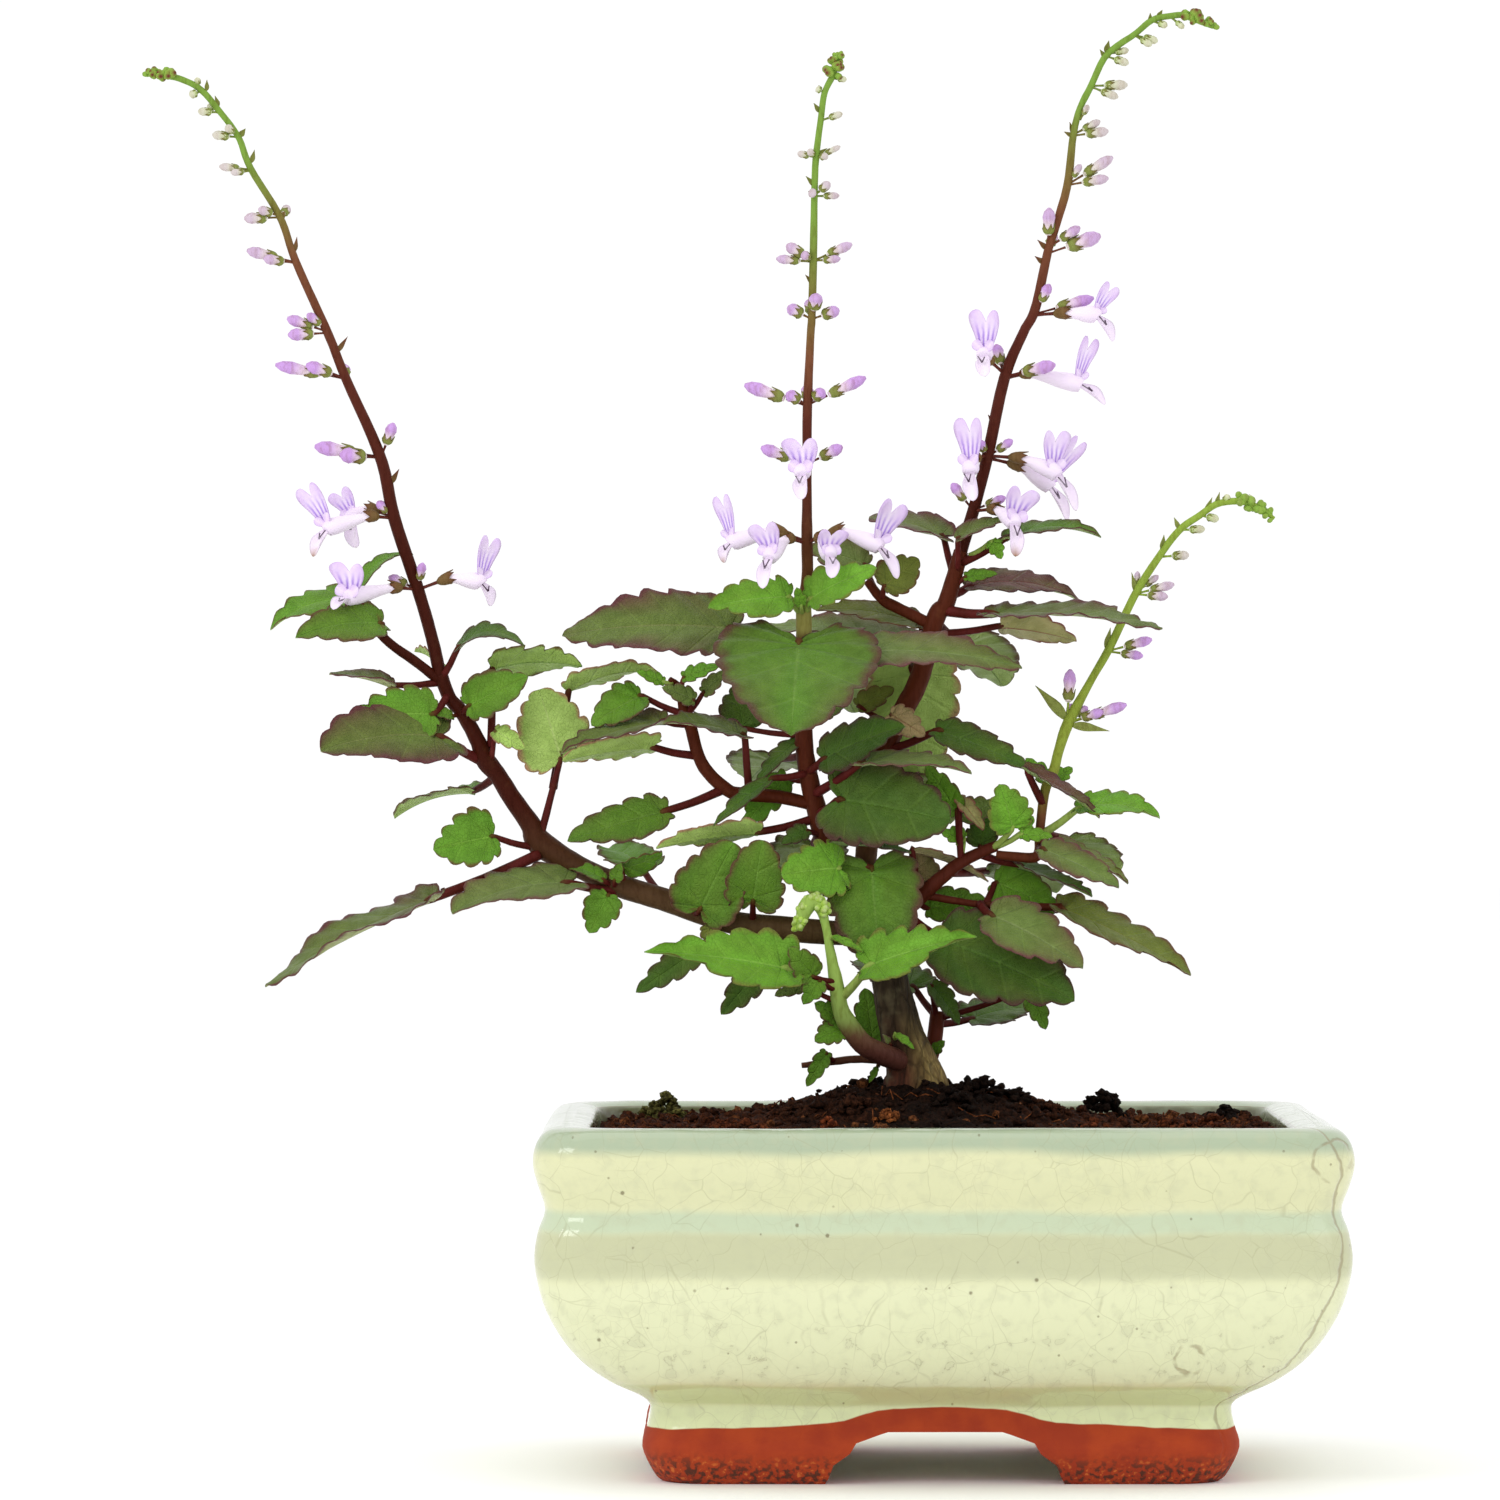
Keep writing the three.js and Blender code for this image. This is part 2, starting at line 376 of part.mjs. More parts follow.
const FAR_SPIKE_STEM = [
  [10.6, -3, 115, 0.8], [14, -3, 114.6, 0.9], [17.6, -3, 114.4, 1], [18.7, -3, 115.6, 1],
  [18.8, -3, 119, 0.9], [19.8, -3, 127, 0.95], [21.5, -2, 130.9, 1], [22.4, -0.4, 134.6, 0.95],
  [24.2, 2, 139.8, 1.1], [28.3, 4, 147.5, 0.75], [32, 5, 154, 0.8], [37, 5, 164.4, 0.75],
  [42.1, 3.9, 172.3, 0.7], [45.4, 2.5, 176.4, 0.7], [48.9, 2.4, 178.9, 0.65],
  [52.5, 2.3, 181.2, 0.9], [57.2, 2.3, 181.6, 1.1], [60, 2.3, 180.3, 0.9], [63.1, 2.4, 178.4, 0.3],
];
const FAR_SPIKE_LEAVES = [
  [[18.8, -3, 118.6], [26, -4.5, 123.6], [41.5, -7, 122], [0, -0.5, 0.86], 9.5, 'ovate', 0.2, 0.12, 0.06],
  [[19.4, -3.2, 124.6], [16.4, -6.6, 131], [30.2, -8, 122],
    [0.45, -0.25, 0.8], 8, 'ovate', 0.25, 0.04, 0.05],
  [[18.9, -3.4, 116.4], [19.4, -9.5, 116], [33.8, -13, 108.8],
    [0.3, -0.65, 0.66], 9, 'ovate', 0.15, 0.04, 0.04],
  [[18.9, -2.6, 116.6], [21.4, 1.4, 117.4], [35.6, 2.4, 109.6],
    [0.45, -0.3, 0.82], 9, 'ovate', 0.15, 0.05, 0.04],
  [[19, -2, 119.6], [24, 9, 118], [34, 21, 112], [0.2, 0.4, 0.88], 11, 'ovate', 0.12, 0.05, 0.04],
];

const FRONT_SHOOT_STEMS = [
  [[-6.5, -1.5, 75.6, 2], [-8.6, -4.4, 76.4, 2.1], [-11.6, -7, 77.6, 2.1], [-14.6, -9, 79.3, 2],
    [-17.3, -10, 82.8, 1.9], [-18.8, -10.5, 86, 1.6], [-19.6, -10.5, 90.6, 1.4],
    [-20.6, -10.5, 96.2, 0.95], [-21.6, -10.5, 101.5, 0.8], [-22.4, -10.8, 104.6, 1.1],
    [-24, -11, 106.2, 1.5], [-25.6, -11, 104.4, 1.5], [-26.6, -11, 100.6, 0.6]],
];
const FRONT_SHOOT_LEAVES = [
  [[-18.6, -10.6, 88], [-13.4, -13, 94], [6.9, -18, 99.6],
    [0.1, -0.72, 0.68], 12.5, 'heart', 0.25, 0.04, 0.04],
  [[-19.6, -10.6, 90], [-28.6, -14, 93.4], [-55.8, -19, 96.7],
    [-0.1, -0.78, 0.6], 13, 'heart', 0.25, 0.04, 0.04],
];

const BASE_TWIG_STEMS = [
  [[-8, 1.6, 75.8, 0.8], [-14.7, 2, 76.4, 0.75], [-20, 1.5, 75.9, 0.7], [-26.1, 1, 75.2, 0.5]],
];
const BACK_STUB_STEMS = [
  [[-3.6, 4, 72.6, 1.6], [-1.8, 5, 77, 1.6], [-0.9, 6, 81, 1.5], [-0.5, 6, 85.4, 1.4]],
];
const BACK_STUB_LEAVES = [
  [[-0.6, 5.6, 83.6], [-1.6, 3.4, 90.4], [3.7, 2, 83], [0.5, -0.7, 0.3], 5.6, 'ovate', 0.25, 0.03, 0.03],
  [[-0.4, 6, 84], [16.6, 1.6, 89.6], [20, 0, 82], [0.2, -0.95, 0.2], 5, 'ovate', 0.2, 0.03, 0.03],
  [[-0.8, 6.4, 84.6], [-5, 12, 90], [-16, 22, 95], [0, -0.4, 0.9], 12, 'heart', 0.15, 0.05, 0.04],
  [[-1, 6.4, 83], [6, 13, 84], [18, 22, 86], [0, -0.4, 0.9], 12, 'heart', 0.15, 0.05, 0.04],
];

// Flower spikes
// Rachis: [x, y, z, radius]. Buds: [start on the rachis, end of the bud, widest radius].
// Bracts: [start, tip, width].
const LEFT_SPIKE_STEM = [
  [-94.7, 8, 150.6, 1.25], [-95.9, 8, 156, 1.2], [-98.5, 8, 165, 1.2], [-103, 7.5, 178.6, 1.2],
  [-105.6, 7, 190, 1.1], [-112.1, 6, 204.8, 0.9], [-115.6, 5.5, 213.6, 0.85],
  [-121.6, 4.5, 227, 0.75], [-124.5, 4, 235.2, 0.7], [-130.1, 3, 244.5, 0.65],
  [-132.4, 3, 250.4, 0.6], [-136.1, 2.4, 255.4, 0.6], [-139.6, 2, 259.4, 1.2],
  [-143.6, 2, 261.4, 1], [-147, 2, 262, 0.8], [-149.4, 2, 262, 0.3],
];
const LEFT_SPIKE_BUDS = [
  [[-132.3, 3, 250.3], [-137.3, 3, 250.8], 0.9],
  [[-130, 3, 244.2], [-136, 3, 244.8], 0.8],
  [[-124.5, 4, 235.2], [-131.3, 4, 235], 1.1], [[-124.5, 4, 235.4], [-128.6, 2.4, 236.8], 0.9],
  [[-121.6, 4.5, 226.7], [-130.8, 4, 229], 1.1], [[-121.6, 4.5, 226.6], [-127.6, 2.6, 227.4], 1],
  [[-115.5, 5.5, 213.6], [-123.2, 5, 216.2], 1.1], [[-115.5, 5.5, 213.4], [-123, 3.6, 213], 1.2],
  [[-115.5, 5.5, 213.8], [-119.4, 4, 217], 0.9],
  [[-112, 6, 204.7], [-125.4, 6, 207.4], 1.2], [[-112, 6, 204.8], [-119.6, 4, 207.4], 1.2],
  [[-105.6, 7, 190], [-118, 7, 192], 1.4], [[-105.6, 7, 189.8], [-113.2, 4.6, 190.4], 1.5],
  [[-105.4, 7, 190], [-103.1, 6, 196.4], 1.1],
  [[-98.6, 8, 165], [-97.6, 6, 170], 0.9],
  [[-98.6, 8, 165], [-104, 9.4, 167.4], 1],
  [[-124.5, 4, 235.2], [-123, 8, 237], 0.9], [[-112, 6, 204.7], [-112.5, 11, 207], 1.1],
];
const LEFT_SPIKE_BRACTS = [
  [[-138.4, 2, 259], [-138.3, 2, 261.2], 0.9], [[-136.1, 2.4, 256], [-136.8, 2.4, 258.2], 0.9],
  [[-132.2, 3, 250.4], [-131, 3, 252], 1.2], [[-130, 3, 245.4], [-129.3, 3, 248], 1],
  [[-124.4, 4, 235], [-123.6, 4, 236.4], 1.2], [[-121.8, 4.5, 228.6], [-121.3, 4.5, 231.6], 0.9],
  [[-113.9, 5.7, 209.6], [-111.7, 6, 212.8], 1], [[-103.8, 7, 184.8], [-102, 7, 187.8], 1.1],
];

const MIDDLE_SPIKE_STEM = [
  [-25.5, 2, 163.4, 1.2], [-25, 2, 168, 1.1], [-25.1, 2, 174, 1.15], [-25.1, 2, 181, 0.95],
  [-25.1, 2, 188.8, 0.9], [-25, 2, 200, 0.9], [-24.4, 2, 213, 0.75], [-24.2, 2, 216.2, 0.8],
  [-23.9, 2, 227, 0.75], [-23.7, 2, 239.4, 0.65], [-23.4, 2, 246.4, 0.65],
  [-22.5, 2, 253.6, 0.6], [-21.8, 2, 258.6, 0.9], [-20.3, 2, 261.8, 0.7],
  [-19.8, 2, 263.6, 1.2], [-19.2, 2, 265.6, 0.6],
];
const MIDDLE_SPIKE_BUDS = [
  [[-23.4, 2, 246.4], [-18.8, 2, 248.6], 0.6],
  [[-23.7, 2, 239.2], [-19, 2.6, 239.3], 0.7],
  [[-23.9, 2, 227], [-29, 2, 230], 1.1], [[-23.9, 2, 226.8], [-30.9, 3, 227.4], 0.9],
  [[-23.9, 2, 227], [-16.6, 2, 230.2], 1],
  [[-23.9, 2, 227], [-18.8, 0.8, 227.4], 0.8],
  [[-24.2, 2, 216], [-28.8, 2, 218.3], 1.2], [[-24.2, 2, 216], [-19, 2, 217.8], 1.2],
  [[-24.2, 2, 216], [-23.2, 0, 220.8], 1.3], [[-24.2, 2, 216], [-24.6, 5.6, 219.4], 1.1],
  [[-25, 2, 199.8], [-29, 1, 202], 1.2], [[-25, 2, 199.6], [-36.9, 2.6, 203.6], 1.3],
  [[-25, 2, 200], [-21.8, 1, 202.6], 1.2], [[-25, 2, 199.8], [-14, 2.6, 205], 1.2],
  [[-25, 2, 200], [-25, 6.4, 203], 1.2],
  [[-25.1, 2, 188.6], [-33.8, 2, 191.8], 1.2], [[-25.1, 2, 188.6], [-18.4, 2, 192], 1.2],
  [[-25.1, 2, 188.6], [-25.4, 7, 191], 1.2],
];
const MIDDLE_SPIKE_BRACTS = [
  [[-22.8, 2, 255], [-23.8, 2, 256.8], 1], [[-23.6, 2, 241], [-25.3, 2, 243], 1.1],
  [[-24, 2, 222.6], [-25.4, 2, 224.4], 1], [[-23.2, 2, 247], [-21.2, 2, 248.3], 0.8],
];

const RIGHT_SPIKE_STEM = [
  [4.4, 5, 173.7, 1.25], [6.5, 5, 180.6, 1.15], [9, 5, 190.3, 1.15], [12.2, 4.6, 205, 1.1],
  [15.7, 4.4, 213.4, 0.95], [18, 4.2, 218, 0.95], [20.4, 4, 229, 0.85], [22, 4, 234, 0.8],
  [24.1, 3.6, 241.6, 0.8], [25.1, 3.4, 250.4, 0.7], [26.4, 3.2, 255.7, 0.65],
  [28.6, 3, 260.2, 0.65], [31.4, 3, 265.8, 0.65], [36.8, 3, 269.8, 0.6], [40, 3, 272.4, 0.6],
  [43.4, 3, 273.2, 0.6], [46.6, 3, 273.3, 0.9], [49, 3, 272.2, 0.9], [51.6, 3, 271.1, 0.4],
];
const RIGHT_SPIKE_BUDS = [
  [[28.6, 3, 260], [35.4, 3, 260.2], 1], [[28.6, 3, 259.8], [33.6, 1.8, 257.8], 0.8],
  [[25.1, 3.4, 250.6], [31.8, 3.2, 251.5], 1], [[25.1, 3.4, 250.8], [30.2, 4, 253.4], 0.8],
  [[24.1, 3.6, 241.4], [32.6, 4, 246.6], 1.1],
  [[24.1, 3.6, 241.3], [31.8, 2.4, 242.6], 1],
  [[20.4, 4, 229], [20.6, 2, 237], 1.2], [[20.6, 4, 229.6], [26.4, 3, 233.4], 1],
  [[20.3, 4, 228.4], [30.3, 4, 231.8], 1.5], [[20.4, 4, 229], [21.5, 8.4, 232], 1.1],
  [[18, 4.2, 217.4], [20.7, 3, 222.6], 1], [[18, 4.2, 217], [29, 5.4, 220], 1.2],
  [[12, 4.6, 205.4], [10.6, 7, 211.2], 1.1], [[12.2, 4.6, 205.2], [21.7, 0.5, 207.4], 1.3],
  [[9, 5, 190], [13.7, 5, 193.2], 0.9],
  [[6.2, 5, 180], [2.2, 4.4, 185], 1], [[6.4, 5, 180], [12.4, 4.6, 182.4], 0.9],
  [[12.2, 4.6, 205], [13, 9, 208.4], 1.1],
];
const RIGHT_SPIKE_BRACTS = [
  [[41, 3, 272.8], [42, 3, 274.4], 1], [[39.6, 3, 272], [39.7, 3, 273.8], 0.9],
  [[31.2, 3, 266.2], [31.9, 3, 268.6], 1.2], [[31, 3, 265.4], [30.2, 3, 266.9], 0.9],
  [[25, 3.4, 250.4], [23.4, 3.4, 251.4], 0.9], [[25, 3.4, 251], [24.5, 3.4, 253.2], 0.9],
  [[20.2, 4, 229], [18.4, 4, 231], 1.1], [[19.6, 4, 226.4], [17.9, 4, 227.9], 1.1],
  [[10.3, 4.8, 195.6], [9.1, 4.8, 198], 1.1],
];

const FAR_SPIKE_BUDS = [
  [[24, 2.2, 140.4], [24.6, 4, 149.9], 1.2], [[24.4, 2, 139.8], [35.2, 2.5, 143.3], 1.1],
  [[24.4, 2.1, 140], [30.8, 1.2, 142], 1],
  [[31.8, 4.9, 153.4], [40, 5, 155.6], 1], [[31.8, 4.9, 153.3], [38.3, 3.8, 152.4], 0.9],
  [[37, 5, 164.2], [44.2, 4.9, 166], 0.9], [[37, 5, 164.1], [43, 3.8, 163.6], 0.9],
  [[37.2, 5, 164.6], [41.2, 6.2, 167.6], 0.7],
  [[42, 4.1, 171.2], [47, 4, 171.5], 0.9], [[45.4, 2.5, 176.2], [50, 2.5, 176.4], 0.8],
  [[24.2, 2.1, 140], [25, 6.8, 143], 1],
];
const FAR_SPIKE_BRACTS = [
  [[24, 2.1, 140.2], [18, 3.4, 146.9], 2.3], [[24.6, 1.8, 139.4], [32, 0.3, 138.3], 1.8],
  [[31.2, 5, 153.8], [32.2, 5, 157.8], 1.3], [[36.8, 5, 164.4], [36.2, 4.7, 168.2], 1],
  [[41.8, 3.9, 172.4], [42.3, 3.2, 175.3], 1.2], [[45, 2.5, 176.4], [44.2, 2.4, 178.6], 1],
  [[50, 2.4, 179.4], [51.4, 2.3, 182.4], 1.1], [[52, 2.3, 180.8], [52.8, 2.2, 183.4], 0.9],
];

// Open flowers: [name, throat of the calyx, mouth of the tube, top of the upper lip,
// end of the lower lip, spread of the upper lip, start on the rachis].
const FLOWERS = [
  ['left_bloom_1', [-107.6, 7, 178.9], [-115.4, 5, 176.6], [-119.8, 4, 184.4],
    [-118.6, 4, 171.4], 4, [-103, 7.5, 178.4]],
  ['left_bloom_2', [-107.4, 10, 180.2], [-111, 12, 178.6], [-113.6, 12, 183.6],
    [-110.4, 12, 172.8], 4, [-103, 7.8, 178.6]],
  ['left_bloom_3', [-103.2, 6, 165.4], [-111.6, -1, 163.5], [-111.6, -2, 169.9],
    [-114.6, -4, 161.6], 6, [-98.6, 8, 165]],
  ['left_bloom_4', [-92.6, 8, 167.2], [-86.6, 8, 166.4], [-84.6, 8, 174.8],
    [-84.4, 8, 162], 3.4, [-98.4, 8, 165]],
  ['middle_bloom_1', [-25.8, -1, 188.4], [-26, -4, 187], [-26.2, -4.6, 193.4],
    [-26.2, -7, 182.2], 6, [-25.1, 2, 188.4]],
  ['middle_bloom_2', [-31, 3, 176.2], [-39.4, 3, 173.9], [-41.4, 3, 182.6],
    [-41.2, 3, 170.2], 3, [-25.1, 2.2, 174]],
  ['middle_bloom_3', [-28.8, 0, 174.8], [-32, -5, 171.4], [-33.4, -6, 177.4],
    [-33.6, -9, 165.4], 5, [-25.1, 2, 173.6]],
  ['middle_bloom_4', [-22.6, -0.6, 174.8], [-20.9, -4, 171.6], [-20.2, -5, 176.2],
    [-20.4, -7.6, 167.4], 5, [-25.1, 2, 173.8]],
  ['middle_bloom_5', [-18.9, 2.6, 176.2], [-11.8, 1.4, 173.4], [-8.2, 0.6, 181.4],
    [-7.8, 0, 167.2], 4.4, [-25.1, 2.2, 174]],
  ['right_bloom_1', [23.6, 3.6, 217.2], [29.4, 3, 216.8], [32.6, 3, 222.4],
    [33, 3, 212], 3, [18, 4.2, 216.8]],
  ['right_bloom_2', [8.9, 3, 208.6], [8.3, 0.6, 209.4], [8.6, 0, 217.6],
    [8.4, -2, 205.4], 5, [11.8, 4.6, 206]],
  ['right_bloom_3', [16.6, 5, 205.9], [26, 5, 203.8], [28.6, 5, 212.4],
    [31.4, 5, 200.2], 3, [12.3, 4.6, 204.8]],
  ['right_bloom_4', [6.6, 2, 189.8], [5.6, -0.4, 187.6], [5.4, -1, 197.2],
    [6.2, -2, 181.8], 4.6, [9, 5, 190.2]],
  ['right_bloom_5', [15.4, 4, 189.8], [21.6, 3, 187.2], [22, 2.4, 194.8],
    [26, 2, 180], 4.6, [9, 5, 190.2]],
  ['right_bloom_6', [15, 7, 188.4], [20.4, 9, 184.8], [26.6, 9, 193.2],
    [24.4, 9, 178.2], 3, [9, 5.4, 189.8]],
  ['right_bloom_7', [10.6, 0.5, 180.2], [13.9, -4.5, 177.8], [15.9, -5.5, 184],
    [14.4, -8, 171.4], 5.4, [6.4, 5, 179.8]],
];

// Pot and soil
// Outer profile of the pot: [half length, z]. Half depth is half length less the inset.
const POT_OUTSIDE = [
  [51.6, GROUND], [53, 1.2], [55.1, 6.2], [54.2, 10], [53.7, 12.6], [53.9, 14.2], [55.8, 15.8],
  [61.2, 18.8], [66.1, 22.8], [70, 27.8], [73, 34], [74.5, 41.2], [73.9, 46.8], [72.6, 50.9],
  [73.9, 55.4], [74.8, 59.4], [74.2, 63], [72.4, 65.3], [70, RIM_TOP],
];
const POT_INSIDE = [
  [68, RIM_TOP], [65.6, 65.4], [64.6, 63.8], [64.4, 56], [64.6, 44], [62, 32], [56.5, 24], [50.5, 19],
  [45, POT_FLOOR],
];
const CORNER_RADIUS = 9;
const CORNER_STEPS = 4;

function roundedOutline(halfLength, halfDepth, radius, z) {
  const points = [];
  const r = Math.min(radius, halfDepth - 2);
  for (let quarter = 0; quarter < 4; quarter++) {
    const sx = quarter === 0 || quarter === 3 ? 1 : -1;
    const sy = quarter < 2 ? 1 : -1;
    for (let i = 0; i <= CORNER_STEPS; i++) {
      const turn = ((quarter + i / CORNER_STEPS) * Math.PI) / 2;
      points.push(new THREE.Vector3(
        POT_CENTRE_X + sx * (halfLength - r) + r * Math.cos(turn),
        sy * (halfDepth - r) + r * Math.sin(turn),
        z,
      ));
    }
  }
  return points;
}

function potLoft(profile, shrink = 0) {
  return ringSolid(profile.map(([half, z]) => roundedOutline(
    half - shrink,
    half - POT_INSET - shrink,
    CORNER_RADIUS,
    z,
  )));
}

// A straight cutter through the whole pot, with the given outline seen along y or x.
function cutterAlongY(outline, reach) {
  const ring = (y) => outline.map(([x, z]) => new THREE.Vector3(x, y, z));
  return ringSolid([ring(reach), ring(-reach)]);
}

function cutterAlongX(outline, reach) {
  const ring = (x) => outline.map(([y, z]) => new THREE.Vector3(x, y, z));
  return ringSolid([ring(-reach), ring(reach)]);
}

function archOutline(centre, { bottom, top, height }) {
  const shoulder = (bottom + top) / 2 + 1;
  return [
    [centre - bottom - 1, GROUND - 1], [centre + bottom + 1, GROUND - 1],
    [centre + bottom, GROUND + 1.2], [centre + shoulder, height - 2.6], [centre + top, height],
    [centre - top, height], [centre - shoulder, height - 2.6], [centre - bottom, GROUND + 1.2],
  ];
}

function makePot() {
  const outside = potLoft(POT_OUTSIDE);
  const inside = potLoft([...POT_INSIDE.slice().reverse(), [68.6, RIM_TOP + 2]]);
  const { halfLength, halfDepth } = FOOT_RING_INNER;
  const recess = ringSolid([
    roundedOutline(halfLength + 1, halfDepth + 1, 6, GROUND - 1),
    roundedOutline(halfLength - 1, halfDepth - 1, 6, RECESS_TOP),
  ]);
  let pot = outside.subtract(inside).subtract(recess);
  pot = pot.subtract(cutterAlongY(archOutline(ARCH.centreX, ARCH), 60));
  pot = pot.subtract(cutterAlongX(archOutline(0, SIDE_ARCH), 85));
  for (const side of [-1, 1]) {
    const ring = (z) => Array.from({ length: 12 }, (_, i) => {
      const turn = (i * Math.PI) / 6;
      return new THREE.Vector3(
        POT_CENTRE_X + side * DRAIN.x + DRAIN.radius * Math.cos(turn),
        DRAIN.radius * Math.sin(turn),
        z,
      );
    });
    pot = pot.subtract(ringSolid([ring(RECESS_TOP - 2), ring(POT_FLOOR + 1)]));
  }
  return pot;
}

// Soil surface height: a low mound around the trunk with lumps of peat and bark.
function soilHeight(x, y) {
  const dx = (x + 5) / 27;
  const dy = y / 24;
  const mound = 8.6 * Math.exp(-(dx * dx + dy * dy) * 0.9);
  const lumps = 0.75 * Math.sin(x * 0.83 + y * 0.37) * Math.sin(y * 0.71 - x * 0.21)
    + 0.5 * Math.sin(x * 1.9 + 1.3) * Math.sin(y * 1.7 + 0.4);
  return 63.2 + mound + lumps;
}

function makeSoil(trunkClear) {
  const gap = FIT_GAP;
  const body = POT_INSIDE.slice().reverse()
    .filter(([, z]) => z < 61)
    .map(([half, z], i) => [half - gap, i === 0 ? z + gap : z]);
  const topRing = roundedOutline(64.4 - gap, 64.4 - POT_INSET - gap, CORNER_RADIUS, 0);
  const rings = body.map(([half, z]) => roundedOutline(half, half - POT_INSET, CORNER_RADIUS, z));
  const positions = [];
  const triangles = [];
  const addRing = (ring) => ring.map((p) => {
    positions.push(p.x, p.y, p.z);
    return positions.length / 3 - 1;
  });
  const scales = [1, 0.88, 0.74, 0.58, 0.42, 0.26, 0.12];
  const surfaceRings = scales.map((k) => topRing.map((p) => {
    const x = POT_CENTRE_X + (p.x - POT_CENTRE_X) * k;
    const y = p.y * k;
    return new THREE.Vector3(x, y, k === 1 ? 62.6 : soilHeight(x, y));
  }));
  const all = [...rings, ...surfaceRings].map(addRing);
  const n = all[0].length;
  for (let r = 0; r + 1 < all.length; r++) {
    for (let i = 0; i < n; i++) {
      const j = (i + 1) % n;
      triangles.push(all[r][i], all[r][j], all[r + 1][j], all[r][i], all[r + 1][j], all[r + 1][i]);
    }
  }
  const cap = (ring, point, facingUp) => {
    positions.push(point.x, point.y, point.z);
    const c = positions.length / 3 - 1;
    for (let i = 0; i < n; i++) {
      const j = (i + 1) % n;
      triangles.push(...(facingUp ? [ring[i], ring[j], c] : [ring[j], ring[i], c]));
    }
  };
  cap(all[0], new THREE.Vector3(POT_CENTRE_X, 0, POT_FLOOR + gap), false);
  cap(all[all.length - 1], new THREE.Vector3(POT_CENTRE_X, 0, soilHeight(POT_CENTRE_X, 0)), true);
  return toSolid(positions, triangles).subtract(trunkClear);
}

// Assembling the plant's pieces
function teethFor(length) {
  if (length < 15) return 2;
  return length < 29 ? 3 : 4;
}

function leafSolid([from, base, tip, up, width, shape, fold, bend, wave]) {
  const length = at(tip).distanceTo(at(base));
  const middle = from.map((v, i) => (v + base[i]) / 2);
  const reach = at(base).distanceTo(at(from));
  return blade(base, tip, up, width, {
    shape,
    fold,
    bend,
    wave,
    teeth: teethFor(length),
    stem: reach > 9 ? [from, middle] : [from],
    stemRadius: Math.min(0.95, 0.42 + length * 0.018),
  });
}

function budSolid([start, end, radius]) {
  const mix = (k) => start.map((v, i) => v + (end[i] - v) * k);
  const far = at(start).distanceTo(at(end)) > 6;
  const neck = far ? [[...mix(0.5), 0.45]] : [];
  return stalk([[...start, 0.4], ...neck, [...mix(0.75), radius], [...end, 0]], 4);
}

function bractSolid([start, tip, width]) {
  return blade(start, tip, [0.3, -0.9, 0.2], width, {
    shape: 'bract', fold: 0.3, bend: 0, wave: 0, notch: 0, teeth: 1, thick: 0.7,
  });
}

function calyxSolid([, throat, , , , , start]) {
  const mix = (k) => start.map((v, i) => v + (throat[i] - v) * k);
  return stalk([[...start, 0.4], [...mix(0.68), 0.5], [...mix(0.98), 1.15]], 4);
}

function flowerSolid([, throat, mouth, upper, lower, spread, start]) {
  const step = (a, b, k) => a.map((v, i) => v + (b[i] - v) * k);
  const tube = stalk([
    [...step(throat, mouth, 0.08), 0.8], [...step(throat, mouth, 0.6), 1.35],
    [...step(mouth, lower, 0.1), 1.2],
  ], 4);
  const facing = [Math.sign(mouth[0] - throat[0]) * 0.5, -0.85, 0.1];
  const upperLip = blade(step(mouth, upper, -0.06), step(mouth, upper, 0.84), facing, spread * 1.25, {
    shape: 'twin', fold: 0.15, bend: -0.05, wave: 0, notch: 0, teeth: 2, thick: 0.7,
  });
  const lip = blade(step(mouth, lower, -0.05), lower, [0, -0.7, 0.7], 2.9, {
    shape: 'lance', fold: 0.5, bend: -0.04, wave: 0, notch: 0, teeth: 1, thick: 0.8,
  });
  const cup = stalk([[...step(start, throat, 0.5), 0.6], [...step(start, throat, 1.02), 1.25]], 4, FIT_GAP);
  return wasm.Manifold.union([tube.subtract(cup), upperLip, lip]);
}

function leafyStem(stems, leaves) {
  const solids = stems.map((points) => stalk(points, 6));
  for (const entry of leaves) solids.push(leafSolid(entry));
  return wasm.Manifold.union(solids);
}

function flowerSpike(stem, buds, bracts, flowers) {
  return wasm.Manifold.union([
    stalk(stem, 5),
    ...buds.map(budSolid),
    ...bracts.map(bractSolid),
    ...flowers.map(calyxSolid),
  ]);
}

const FINISHES = {
  pot: { color: 0xd9ddb9, roughness: 0.25, metalness: 0 },
  soil: { color: 0x2e1c14, roughness: 1, metalness: 0 },
  wood: { color: 0x3b3226, roughness: 0.9, metalness: 0 },
  leaf: { color: 0x5f8f38, roughness: 0.55, metalness: 0 },
  spike: { color: 0x6b4a2a, roughness: 0.7, metalness: 0 },
  bloom: { color: 0xe2d2ee, roughness: 0.6, metalness: 0 },
};

const plant = new THREE.Group();

function addPiece(name, solid, finish) {
  const tidy = solid.simplify(MODEL_TOLERANCE);
  const mesh = tidy.getMesh();
  const geometry = new THREE.BufferGeometry();
  geometry.setAttribute('position', new THREE.BufferAttribute(new Float32Array(mesh.vertProperties), 3));
  geometry.setIndex(new THREE.BufferAttribute(new Uint32Array(mesh.triVerts), 1));
  const piece = new THREE.Mesh(geometry, new THREE.MeshStandardMaterial(finish));
  piece.name = name;
  plant.add(piece);
}

const trunk = stalk(TRUNK, 8);
const trunkClear = stalk(TRUNK, 8, FIT_GAP + 0.1);
const middleClear = stalk(MIDDLE_STEM_STEMS[0], 6, FIT_GAP);
const sideClear = stalk(SIDE_BRANCH_STEMS[0], 6, FIT_GAP);

addPiece('pot', makePot(), FINISHES.pot);
addPiece('soil', makeSoil(trunkClear), FINISHES.soil);
addPiece('trunk', trunk, FINISHES.wood);

